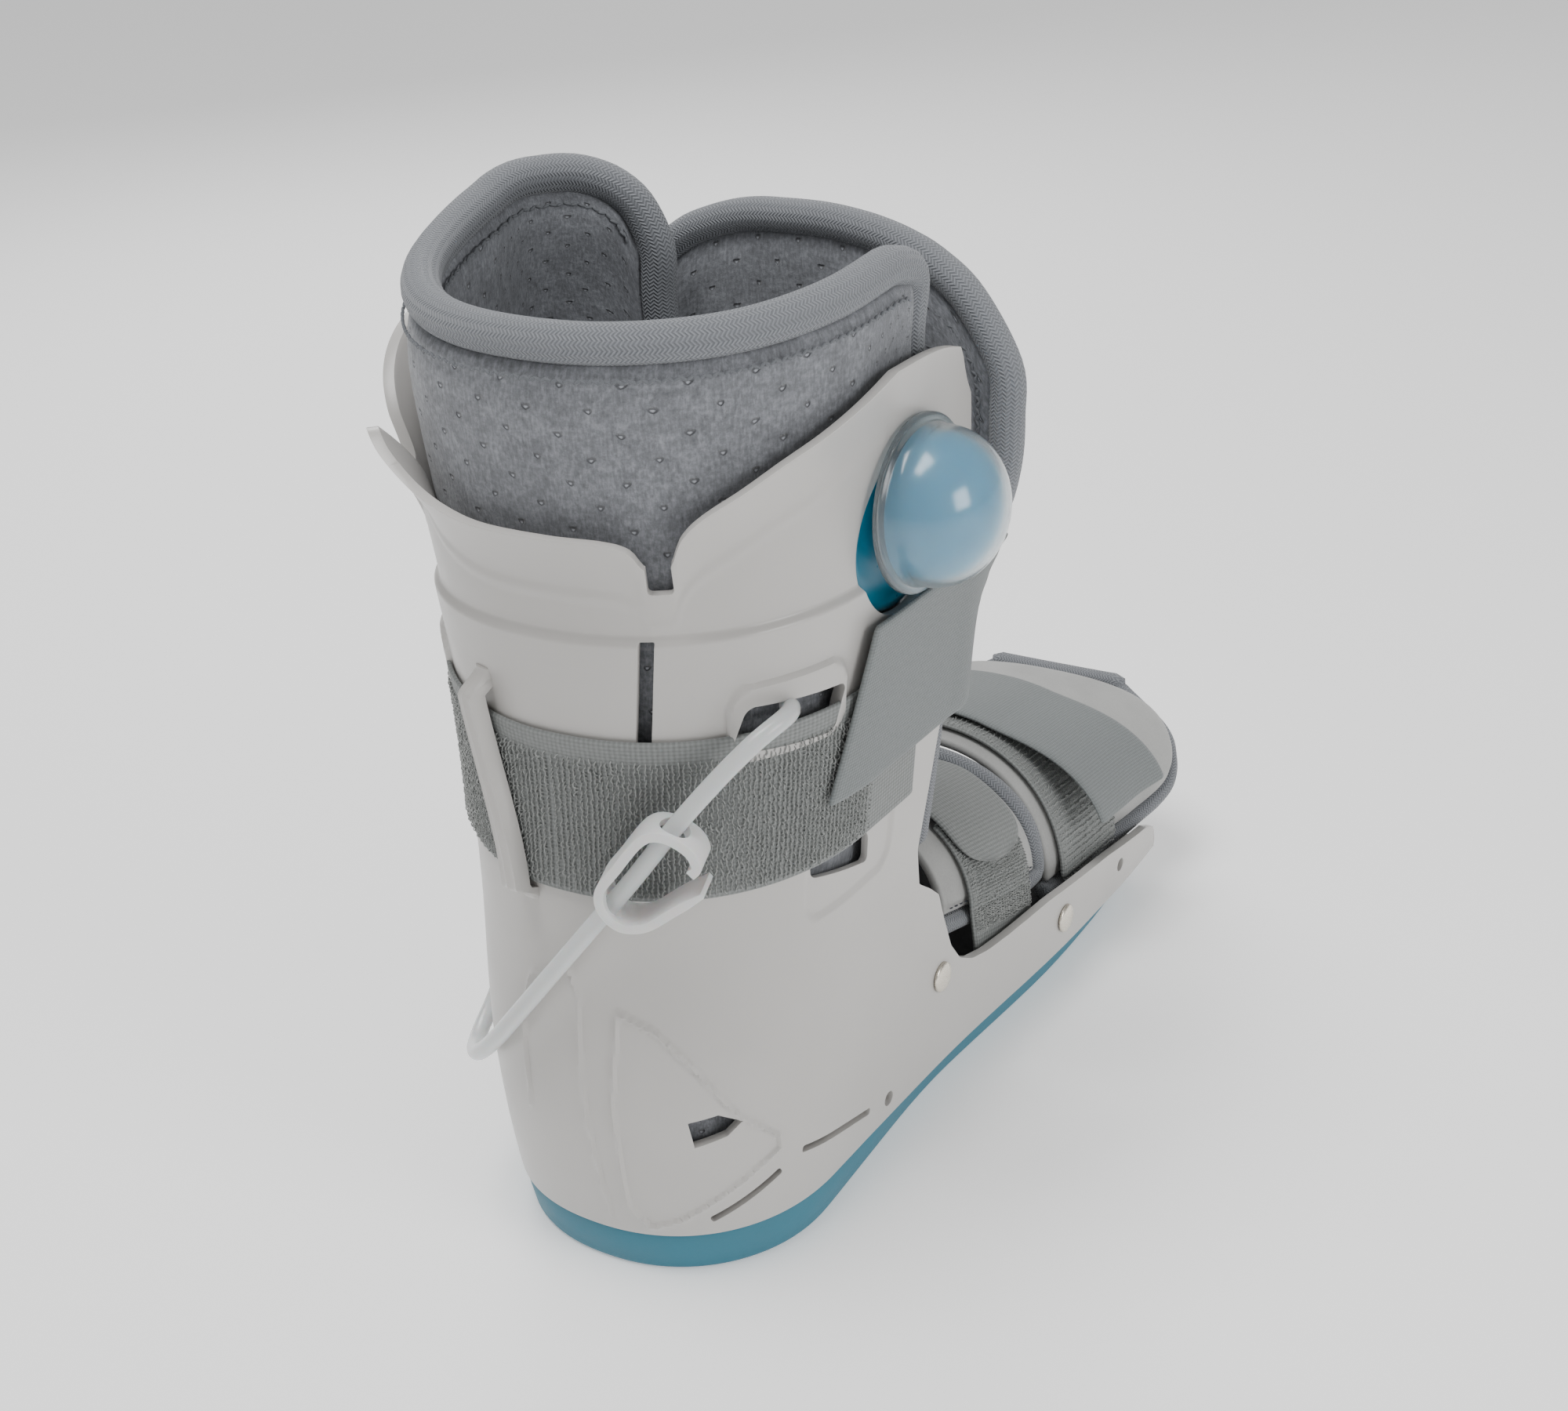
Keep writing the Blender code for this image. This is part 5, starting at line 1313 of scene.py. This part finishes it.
def make_pad(name, point, start, end, finish, replaces, creases):
    """A cushion over the foot, rounded off at its edges; a crease is (share along, lean across)."""
    upper, lower = [], []
    for y in spread(start, end, 56):
        over, under = [], []
        for across in spread(-1, 1, 80):
            fold = 0.0
            for at, lean in creases:
                away = abs(y - start - at * (end - start) - lean * across)
                fold += CREASE_DEPTH * (1 - smooth(away / CREASE_REACH))
            edge = min((y - start) / (6 * MM), (end - y) / (6 * MM), (1 - abs(across)) * 12, 1)
            round_ = 1.4 * MM * (1 - smooth(edge))
            dent = soft_dent(point(across, y, 0.0), 0.035, 0.5 * MM) * smooth(edge)
            over.append(point(across, y, -0.1 * MM - fold - round_ + dent))
            under.append(point(across, y, -PAD_THICKNESS + round_))
        upper.append(over)
        lower.append(under)
    made = panel(name, upper, lower, finish, replaces)


def make_piping(name, point, start, end, finish, replaces):
    places = [(-1, y) for y in spread(start, end, 15)]
    places += [(across, end) for across in spread(-1, 1, 13)[1:-1]]
    places += [(1, y) for y in spread(end, start, 15)]
    edge = [point(across, y, -PAD_THICKNESS / 2) for across, y in places]
    through = [point(across, y, 0) - point(across, y, -PAD_THICKNESS) for across, y in places]
    points = even_curve(beside(edge, through, -PIPING_RADIUS - 1.5 * GAP), 2 * MM)
    round_path(name, points, PIPING_RADIUS, finish, replaces, sides=16)


def flat_lift(across):
    return 2.5 * GAP


def overlap_lift(across):
    return 2.5 * GAP + (2.5 * GAP + STRAP_THICKNESS) * smooth((across - 0.1) / 0.25)


def free_end_lift(across):
    return 6 * GAP + STRAP_THICKNESS + TOE_STRAP_LIFT * smooth((across - 0.2) / 0.6)


def make_band(name, point, place, first, last, lift, finish, replaces, slot, round_end=0.0):
    """A flat strap across a pad, its last end round where asked."""
    under, over = [], []
    for n, across in enumerate(spread(first, last, 70)):
        low, high = place
        if round_end:
            near_end = min(max(1 - (last - across) / round_end, 0.0), 1.0)
            inset = (high - low) / 2 * (1 - (1 - near_end**2) ** 0.5) * 0.8
            low, high = low + inset, high - inset
        near, far = [], []
        for k, y in enumerate(spread(low, high, 13)):
            selvage = 0.25 * MM * smooth(abs(k - 6) / 2 - 1.8)
            near.append(point(across, y, lift(across) + 0.05 * MM))
            far.append(point(across, y, lift(across) + STRAP_THICKNESS - 0.3 * MM + selvage))
        under.append(near)
        over.append(far)
    panel(name, over, under, finish, replaces)


# Straps round the ankle


def ankle_middle(turn):
    return STRAP_MIDDLE + STRAP_TILT * smooth(-turn / 60)


def ankle_places(count):
    ends = spread(0.02, 0.13, 6)
    places = [(-90.0, f) for f in reversed(ends)] + [(t, 0.0) for t in spread(-90, 90, count)]
    return places + [(90.0, f) for f in ends]


def make_ankle_strap(finish):
    inner, outer = [], []
    for turn, forward in ankle_places(110):
        middle = ankle_middle(turn)
        near, far = [], []
        for share in spread(-0.5, 0.5, 30):
            z = middle + share * STRAP_WIDTH
            selvage = smooth((share - 0.38) / 0.03) + smooth((-0.47 - share) / 0.02)
            near.append(wall_point(turn, forward, z, GAP))
            far.append(wall_point(turn, forward, z, GAP + STRAP_THICKNESS - (0.9 - 0.3 * selvage) * MM))
        inner.append(near)
        outer.append(far)
    panel("ankle_loop_strap", outer, inner, finish, ("ankle_strap",))


def closure_path(z):
    over = 3 * GAP + STRAP_THICKNESS
    path = [wall_point(-90, f, z, over) for f in spread(0.06, 0.24, 4)]
    round_edge = FLAP_BINDING_RADIUS + 11 * GAP
    for across, side in ((0.0, -1), (1.0, 1)):
        bound = Vector((side * (FLAP_BINDING_RADIUS + 3 * GAP), 0, 0))
        middle = flap_point(across, z, FLAP_THICKNESS / 2) + bound
        corner = [middle + Vector((side * cos(t), sin(t), 0)) * round_edge for t in (0.3, 0.9)]
        if side < 0:
            path += corner
            path += [flap_point(a, z, FLAP_THICKNESS + 3 * MM) for a in spread(0.14, 0.86, 6)]
        else:
            path += reversed(corner)
    path += [wall_point(90, f, z, over) for f in spread(0.24, 0.0, 5)]
    return path + [wall_point(turn, 0, z, over) for turn in (84, 78, 72)]


def make_closure_strap(finish):
    """Smooth strap round the front, its slanted cut end pressed on the ankle strap."""
    count = 132
    rows = 25
    inner, outer = [[] for _ in range(count + 1)], [[] for _ in range(count + 1)]
    for share in spread(-0.5, 0.5, rows):
        path = even_curve(closure_path(STRAP_MIDDLE + CLOSURE_RISE + share * STRAP_WIDTH), count=count)
        last = count - CLOSURE_CUT * (count / 44) * (share + 0.5)
        for n in range(count + 1):
            at = n * last / count
            k = min(int(at), count - 1)
            p = path[k].lerp(path[k + 1], at - k)
            q = path[min(k + 1, count)] - path[max(k - 1, 0)]
            out = Vector((-q.y, q.x, 0)).normalized()
            z = STRAP_MIDDLE + CLOSURE_RISE * smooth(2.2 * n / count) + share * STRAP_WIDTH
            inner[n].append(Vector((p.x, p.y, z)) + out * 0.1 * MM)
            outer[n].append(Vector((p.x, p.y, z)) + out * (STRAP_THICKNESS - 0.1 * MM))
    panel("closure_hook_strap", outer, inner, finish, ("closure_strap",))


# Pump


def pump_seat(y, z):
    return side_half_width(y, z) - BAND_STEP


def make_air_bladder(finish):
    profile, back = [], []
    for n in range(0, 13):
        radius = (PUMP_OPENING_RADIUS - 2 * GAP) * n / 12
        puff = 0.5 * MM * smooth((1 - n / 12) * 4)
        profile.append((-3 * GAP - 0.5 * MM + puff, radius))
        back.append((-2 * GAP - BLADDER_THICKNESS, radius))
    centre = (0, PUMP_STATION, PUMP_HEIGHT - PUMP_OPENING_DROP)
    profile = back + profile[::-1]
    turned("bladder_film", profile, centre, finish, ("air_bladder",), seat=pump_seat)


def quarter(start, tall, radius, first=0):
    """(reach, radius) pairs of a rounded top, from its straight wall to its tip."""
    turns = [pi / 2 * n / 24 for n in range(first, 25)]
    pairs = [(start + tall * sin(turn), radius * cos(turn)) for turn in turns]
    return pairs[:-1] + [(start + tall, 0)]


def make_pump(dome_finish, bulb_finish):
    """Clear cover with a flange, and the bulb inside it."""
    flange = DOME_RADIUS + DOME_FLANGE
    face = pump_seat(PUMP_STATION, PUMP_HEIGHT + flange)
    centre = (face, PUMP_STATION, PUMP_HEIGHT)
    lift = 3.5 * GAP
    inner_radius = DOME_RADIUS - DOME_WALL
    top = lift + DOME_STRAIGHT
    outer = [(lift, flange - 0.3 * MM), (lift + 0.3 * MM, flange), (lift + 1.6 * MM, flange)]
    outer += [(lift + 2.1 * MM, flange - 0.4 * MM), (lift + 2.5 * MM, DOME_RADIUS + 1.0 * MM)]
    outer += [(lift + 3.2 * MM, DOME_RADIUS + 0.25 * MM), (top, DOME_RADIUS)]
    outer += quarter(top, DOME_TALL, DOME_RADIUS, first=1)
    hollow = quarter(top, DOME_TALL - DOME_WALL, inner_radius)[::-1]
    profile = outer + hollow + [(lift, inner_radius)]
    turned("pump_cover", profile, centre, dome_finish, ("pump_dome",), 96, hollow=True)
    radius = inner_radius - 2 * GAP
    bulb = [(lift, radius - 0.5 * MM), (lift + 0.5 * MM, radius)]
    bulb += quarter(top, DOME_TALL - DOME_WALL - 2 * GAP, radius)
    turned("pump_bulb_body", bulb, centre, bulb_finish, ("pump_bulb",), 96)


ClampFold = namedtuple("ClampFold", "run across")

# The clamp's strip seen on its edge, from its hook round the bend to the jaw's tip, as in the part
CLAMP_FOLD = (
    ClampFold(run=-0.40, across=0.33),
    ClampFold(run=-0.50, across=0.33),
    ClampFold(run=-0.58, across=0.18),
    ClampFold(run=-0.55, across=-0.05),
    ClampFold(run=-0.40, across=-0.18),
    ClampFold(run=0.00, across=-0.19),
    ClampFold(run=0.27, across=-0.18),
    ClampFold(run=0.42, across=-0.05),
    ClampFold(run=0.45, across=0.15),
    ClampFold(run=0.30, across=0.32),
    ClampFold(run=0.00, across=0.42),
    ClampFold(run=-0.30, across=0.52),
)


def make_tube_clamp(finish):
    """Folded strip round the tube: a hook, a straight back, a bend and a jaw, bored for the tube."""
    centre = Vector(TUBE_ROUTE[CLAMP_AT])
    run = (Vector(TUBE_ROUTE[CLAMP_AT + 1]) - Vector(TUBE_ROUTE[CLAMP_AT - 1])).normalized()
    out = outward(degrees(atan2(centre.x, -centre.y)), centre.z)
    out = (out - run * out.dot(run)).normalized()
    side = out.cross(run)
    thick = CLAMP_STRIP / 2
    folds = [Vector((fold.run, fold.across, 0)) * CLAMP_LENGTH for fold in CLAMP_FOLD]
    path = even_curve(folds, 0.9 * MM)
    outer, inner = [], []
    for n, p in enumerate(path):
        before, after = path[max(n - 1, 0)], path[min(n + 1, len(path) - 1)]
        taper = 1 - 0.45 * smooth((n / len(path) - 0.9) / 0.1)
        across = Vector((after.y - before.y, before.x - after.x, 0)).normalized() * thick * taper
        outer.append(p + across)
        inner.append(p - across)

    def rows(line):
        widths = spread(-CLAMP_WIDTH / 2, CLAMP_WIDTH / 2, 9)
        return [[centre + run * p.x + side * p.y + out * width for width in widths] for p in line]

    verts, faces = wall_mesh(rows(outer), rows(inner))
    clamp = add_piece("pinch_clamp", verts, faces, finish, None, ("tube_clamp",))
    bore = TUBE_RADIUS + 5 * GAP
    cut(clamp, [outline_plug(disc(bore, 40), centre, run, CLAMP_LENGTH, out)])
    round_edges(clamp, 0.45 * MM, 40, 40)
    return clamp


def make_rivets(finish):
    base = 0.4 * MM
    for side, label in ((1, "right"), (-1, "left")):
        for where, (y, z) in (("heel", HEEL_RIVET), ("ball", BALL_RIVET)):
            x = side_half_width(y, z) + GAP
            profile = [(0, RIVET_RADIUS), (side * base, RIVET_RADIUS)]
            for t in spread(0.15, pi / 2, 8)[:-1]:
                profile.append((side * (base + (RIVET_RISE - base) * sin(t)), RIVET_RADIUS * cos(t)))
            profile.append((side * RIVET_RISE, 0))
            node = "rivet_" + where + "_" + label
            turned(node + "_head", profile, (side * x, y, z), finish, (node,), 40)


def make_foot_pad(finish):
    low = SOLE_HEIGHT + PLATE_THICKNESS + 4 * GAP
    inset = SHELL_WALL + LINER_THICKNESS + BAND_STEP + 6 * GAP
    rings = []
    for rise, more in ((0.0, 0.8), (0.5, 0.2), (3.2, 0.0), (3.8, 0.4), (4.0, 1.2)):
        rings.append(foot_outline(low + rise * MM, inset + more * MM))
    stacked("foot_bed", rings, finish, ("foot_pad",), 60)


# Small pieces that repeat, set out by Geometry Nodes


def small_loop(width, height, thread):
    """One loop of pile: an arch in its own running direction X, standing up along Z."""
    sides, verts = 3, []
    turns = spread(-0.3, pi + 0.3, 6)
    for t in turns:
        x, z = width / 2 * cos(t), height * sin(t)
        for k in range(sides):
            a = 2 * pi * k / sides
            verts.append((x + thread * cos(a) * cos(t), thread * sin(a), z + thread * cos(a) * sin(t)))
    return verts, ring_faces(len(turns), sides)


def small_stitch(length, width, height):
    """One stitch: a flat rounded bead along X."""
    verts, sides, rings = [], 6, 5
    for n in range(rings):
        x = -1 + 2 * n / (rings - 1)
        size = max(0.25, (1 - x * x) ** 0.5)
        for k in range(sides):
            a = 2 * pi * k / sides
            verts.append((x * length / 2, width / 2 * size * cos(a), height * size * sin(a)))
    ends = [tuple(range(sides)), tuple(range((rings - 1) * sides, rings * sides))]
    return verts, ring_faces(rings, sides) + ends


def set_out(name, places, repeated, finish, replaces, smallest, largest, sway):
    """Copies of a small mesh at (point, outward, running direction) places, uneven as sewn work is."""
    small = bpy.data.meshes.new(name + "_one")
    small.from_pydata(repeated[0], [], repeated[1])
    one = linked(name + "_one", small)
    data = bpy.data.meshes.new(name)
    data.from_pydata([tuple(row[0]) for row in places], [], [])
    for key, column in (("outward", 1), ("running", 2)):
        vectors = np.array([tuple(row[column]) for row in places], dtype=np.float32)
        layer = data.attributes.new(key, "FLOAT_VECTOR", "POINT")
        layer.data.foreach_set("vector", vectors.ravel())
    made = linked(name, data)
    tree = bpy.data.node_groups.new(name + "_layout", "GeometryNodeTree")
    sockets = {}
    for label, kind in (
        ("Geometry", "Geometry"),
        ("Repeated", "Object"),
        ("Finish", "Material"),
        ("Smallest", "Float"),
        ("Largest", "Float"),
        ("Sway", "Float"),
    ):
        socket = tree.interface.new_socket(label, in_out="INPUT", socket_type="NodeSocket" + kind)
        sockets[label] = socket.identifier
    tree.interface.new_socket("Geometry", in_out="OUTPUT", socket_type="NodeSocketGeometry")

    def node(kind, **settings):
        added = tree.nodes.new(kind)
        for key, value in settings.items():
            setattr(added, key, value)
        return added

    given, result = node("NodeGroupInput"), node("NodeGroupOutput")
    axes = node("FunctionNodeAxesToRotation", primary_axis="Z", secondary_axis="X")
    for key, socket in (("outward", 0), ("running", 1)):
        named = node("GeometryNodeInputNamedAttribute", data_type="FLOAT_VECTOR")
        named.inputs["Name"].default_value = key
        tree.links.new(named.outputs["Attribute"], axes.inputs[socket])
    lean = node("FunctionNodeRandomValue", data_type="FLOAT_VECTOR")
    lean.inputs[0].default_value = (-1, -1, -1)
    lean.inputs["Seed"].default_value = 11
    scaled = node("ShaderNodeVectorMath", operation="SCALE")
    tree.links.new(lean.outputs[0], scaled.inputs[0])
    tree.links.new(given.outputs["Sway"], scaled.inputs["Scale"])
    euler = node("FunctionNodeEulerToRotation")
    tree.links.new(scaled.outputs[0], euler.inputs[0])
    turned_ = node("FunctionNodeRotateRotation", rotation_space="LOCAL")
    tree.links.new(axes.outputs[0], turned_.inputs[0])
    tree.links.new(euler.outputs[0], turned_.inputs[1])
    size = node("FunctionNodeRandomValue", data_type="FLOAT")
    size.inputs["Seed"].default_value = 23
    tree.links.new(given.outputs["Smallest"], size.inputs[2])
    tree.links.new(given.outputs["Largest"], size.inputs[3])
    shape = node("GeometryNodeObjectInfo")
    tree.links.new(given.outputs["Repeated"], shape.inputs["Object"])
    copies = node("GeometryNodeInstanceOnPoints")
    tree.links.new(given.outputs["Geometry"], copies.inputs["Points"])
    tree.links.new(shape.outputs["Geometry"], copies.inputs["Instance"])
    tree.links.new(turned_.outputs[0], copies.inputs["Rotation"])
    tree.links.new(size.outputs[1], copies.inputs["Scale"])
    solid = node("GeometryNodeRealizeInstances")
    tree.links.new(copies.outputs[0], solid.inputs[0])
    dressed = node("GeometryNodeSetMaterial")
    tree.links.new(solid.outputs[0], dressed.inputs["Geometry"])
    tree.links.new(given.outputs["Finish"], dressed.inputs["Material"])
    tree.links.new(dressed.outputs[0], result.inputs[0])
    step = made.modifiers.new("layout", "NODES")
    step.node_group = tree
    for label, value in (
        ("Repeated", one),
        ("Finish", finish),
        ("Smallest", smallest),
        ("Largest", largest),
        ("Sway", sway),
    ):
        step[sockets[label]] = value
    settle(made)
    bpy.data.objects.remove(one, do_unlink=True)
    return dress(made, None, replaces)


def make_strap_loops(finish):
    """Rows of loop pile on the ankle strap's outer face, its upper selvage left plain."""
    places = []
    turn_step = degrees(1.85 * MM / HEEL_REACH)
    count = int(190 / turn_step)
    for n in range(count):
        turn = -90 + 180 * n / (count - 1)
        for row in range(33):
            share = -0.465 + 0.835 * (row + 0.5 * (n % 2)) / 33
            z = ankle_middle(turn) + share * STRAP_WIDTH
            foot = wall_point(turn, 0, z, GAP + STRAP_THICKNESS - 1.0 * MM)
            places.append((foot, outward(turn, z), Vector((0, 0, 1))))
    loop = small_loop(1.5 * MM, 0.95 * MM, 0.2 * MM)
    set_out("ankle_strap_loops", places, loop, finish, ("ankle_strap",), 0.8, 1.15, 0.45)


def make_band_loops(name, point, place, first, last, lift, finish, replaces):
    """Rows of loop pile on a strap over the foot."""
    places = []
    for n, across in enumerate(spread(first, last, 46)):
        for k, y in enumerate(spread(place[0] + 1.5 * MM, place[1] - 1.5 * MM, 22)):
            p = point(across, y, lift(across) + STRAP_THICKNESS - 0.4 * MM)
            out = point(across, y, lift(across) + 3 * MM) - point(across, y, lift(across))
            places.append((p, out.normalized(), Vector((0, 1, 0))))
    loop = small_loop(1.4 * MM, 0.8 * MM, 0.18 * MM)
    set_out(name, places, loop, finish, replaces, 0.8, 1.15, 0.5)


def sewn_line(points, outs, step, weave):
    """Places of stitches along a path, each turned a little the other way by `weave`."""
    path = even_curve(points, step)
    places = []
    for n in range(len(path) - 1):
        k = min(range(len(points)), key=lambda i: (Vector(points[i]) - path[n]).length)
        run = (path[n + 1] - path[n]).normalized()
        out = outs[k].normalized()
        side = out.cross(run)
        way = weave if n % 2 else -weave
        places.append((path[n], out, (run + side * way).normalized()))
    return places


def make_stitches(finish):
    """Chain stitch under the liner's binding, on both of its faces, and along the flap's."""
    stitch = small_stitch(2.6 * MM, 0.9 * MM, 0.5 * MM)

    def sew(name, points, outs, step, weave, replaces):
        line = sewn_line(points, outs, step, weave)
        set_out(name, line, stitch, finish, replaces, 0.9, 1.1, 0.1)

    for name, near, far, step, weave in (
        ("liner_chain_stitch", 0, LINER_THICKNESS, 1.5 * MM, 0.55),
        ("liner_inner_stitch", LINER_THICKNESS, 0, 2.0 * MM, 0.3),
    ):
        points, outs = [], []
        for way in spread(LINER_START + 0.02, LINER_END - 0.015, 60):
            z = liner_top(way) - 1.5 * BINDING_RADIUS
            points.append(liner_point(way, z, near))
            outs.append(liner_point(way, z, near) - liner_point(way, z, far))
        sew(name, points, outs, step, weave, ("liner",))
    outset = 0.8 * MM
    side_heights = spread(FLAP_FOOT, flap_top(1.0) - 6 * MM, 24)
    points = [flap_point(1 - 0.018, z, outset) for z in side_heights]
    points += [flap_point(a, flap_top(a) - 5.5 * MM, outset) for a in spread(0.97, 0.08, 26)]
    outs = [Vector((0, -1, 0))] * len(points)
    sew("flap_inner_stitch", points, outs, 1.8 * MM, 0.5, ("front_flap",))


def make_pad_stitches(finish):
    """A dark line of stitches on the instep cushion's edge."""
    points, outs = [], []
    for y in spread(INSTEP_PAD_START + 2 * MM, INSTEP_PAD_END - 2 * MM, 14):
        points.append(instep_point(0.96, y, 0.1 * MM))
        outs.append(instep_point(0.96, y, 3 * MM) - instep_point(0.96, y, 0))
    stitch = small_stitch(2.2 * MM, 0.6 * MM, 0.35 * MM)
    line = sewn_line(points, outs, 2.9 * MM, 0.0)
    set_out("instep_edge_stitch", line, stitch, finish, ("instep_pad",), 0.9, 1.1, 0.05)


# Stage


def make_stage():
    side = 4.0
    data = bpy.data.meshes.new("floor")
    corners = [(-side, -side, 0), (side, -side, 0), (side, side, 0), (-side, side, 0)]
    data.from_pydata(corners, [], [(0, 1, 2, 3)])
    data.materials.append(floor_finish())
    floor = linked("floor", data)
    world = bpy.data.worlds.new("studio")
    world.use_nodes = True
    world.node_tree.nodes["Background"].inputs["Color"].default_value = (1.0, 1.0, 1.0, 1.0)
    world.node_tree.nodes["Background"].inputs["Strength"].default_value = 0.42
    bpy.context.scene.world = world
    middle = Vector((0, 0.05, 0.12))
    for name, place, size, watts in (
        ("key", (-0.15, -0.25, 1.5), 0.7, 17),
        ("side", (1.3, -0.1, 0.55), 0.5, 7),
        ("rear", (-0.9, 0.9, 0.9), 0.6, 7),
    ):
        data = bpy.data.lights.new(name, "AREA")
        data.size = size
        data.energy = watts
        light = linked(name, data)
        light.location = place
        light.rotation_euler = (middle - light.location).to_track_quat("-Z", "Y").to_euler()


def main():
    make_camera()
    milky = clear_plastic("milky_tube", (0.74, 0.77, 0.77), 0.22, 0.3, 0.2, 0.02)
    tube, route = make_air_tube(milky)
    clamp_finish = clear_plastic("white_clamp", (0.93, 0.94, 0.93), 0.35, 0.35, 0.3)
    clamp = make_tube_clamp(clamp_finish)

    plastic = moulded_plastic("shell_plastic", (0.50, 0.485, 0.465), 0.33)
    teal = rubber("teal_rubber", (0.03, 0.17, 0.24))
    foam = foam_fabric("brushed_foam_fabric", (0.175, 0.182, 0.198))
    knit = zigzag_knit("binding_knit", (0.20, 0.21, 0.228))
    # The foot bed is coloured near black all over.
    dark = rubber("near_black_foot_bed", (0.02, 0.02, 0.024))
    laminate = smooth_laminate("smooth_pad_face", (0.36, 0.36, 0.35))
    loop = strap_knit("loop_strap", (0.20, 0.21, 0.205), 1.1 * MM, 0.8)
    hook = strap_knit("smooth_strap", (0.17, 0.185, 0.185))
    film = clear_plastic("teal_film", (0.01, 0.16, 0.25), 0.3, 0.0)
    blue = clear_plastic("sky_blue_bulb", (0.12, 0.47, 0.70), 0.4, 0.0, 0.2)
    frosted = clear_plastic("frosted_cover", (0.85, 0.93, 0.97), 0.16, 0.95)
    metal = pale_metal("pale_rivet_metal", (0.72, 0.67, 0.58))

    make_shell(plastic)
    make_foot_plate(plastic)
    make_keeper_bar(plastic)
    make_outsole(teal)
    make_liner(foam)
    make_liner_binding(knit)
    make_front_flap(foam)
    make_flap_binding(knit)
    make_foot_pad(dark)
    toe = (toe_point, TOE_PAD_START, TOE_PAD_END)
    instep = (instep_point, INSTEP_PAD_START, INSTEP_PAD_END)
    make_pad("toe_cushion", *toe, laminate, ("toe_pad",), TOE_CREASES)
    make_piping("toe_cushion_piping", *toe, knit, ("toe_piping",))
    make_pad("instep_cushion", *instep, laminate, ("instep_pad",), INSTEP_CREASES)
    make_piping("instep_cushion_piping", *instep, knit, ("instep_piping",))
    toe = (toe_point, LOOP_STRAP_PLACE)
    instep = (instep_point, INSTEP_STRAP_PLACE)
    make_band("toe_loop_band", *toe, -1, 1, flat_lift, loop, ("toe_loop_strap",), "loop_tape")
    upper = (toe_point, TOE_STRAP_PLACE)
    make_band("toe_smooth_band", *upper, -0.92, 0.8, free_end_lift, hook, ("toe_strap",), "hook_tape")
    band = (overlap_lift, loop, ("instep_strap",), "loop_tape")
    make_band("instep_loop_band", *instep, -1.9, 0.8, *band, round_end=0.2)
    make_band("instep_loop_tab", *instep, 0.5, 1.9, flat_lift, loop, ("instep_tab",), "loop_tape")
    make_ankle_strap(loop)
    make_closure_strap(hook)
    make_air_bladder(film)
    make_pump(frosted, blue)
    pile = strap_knit("loop_pile_yarn", (0.30, 0.31, 0.30), 1.1 * MM, 0.2)
    pile.node_tree.nodes["Principled BSDF"].inputs["Roughness"].default_value = 0.38
    make_strap_loops(pile)
    make_band_loops("toe_band_loops", *toe, -0.2, 1, flat_lift, pile, ("toe_loop_strap",))
    make_band_loops("instep_tab_loops", *instep, 0.5, 1.3, flat_lift, pile, ("instep_tab",))
    make_stitches(strap_knit("stitching_yarn", (0.13, 0.138, 0.15), 0.6 * MM, 0.3))
    make_pad_stitches(strap_knit("dark_stitching_yarn", (0.035, 0.04, 0.05), 0.6 * MM, 0.3))
    make_rivets(metal)
    make_stage()


main()
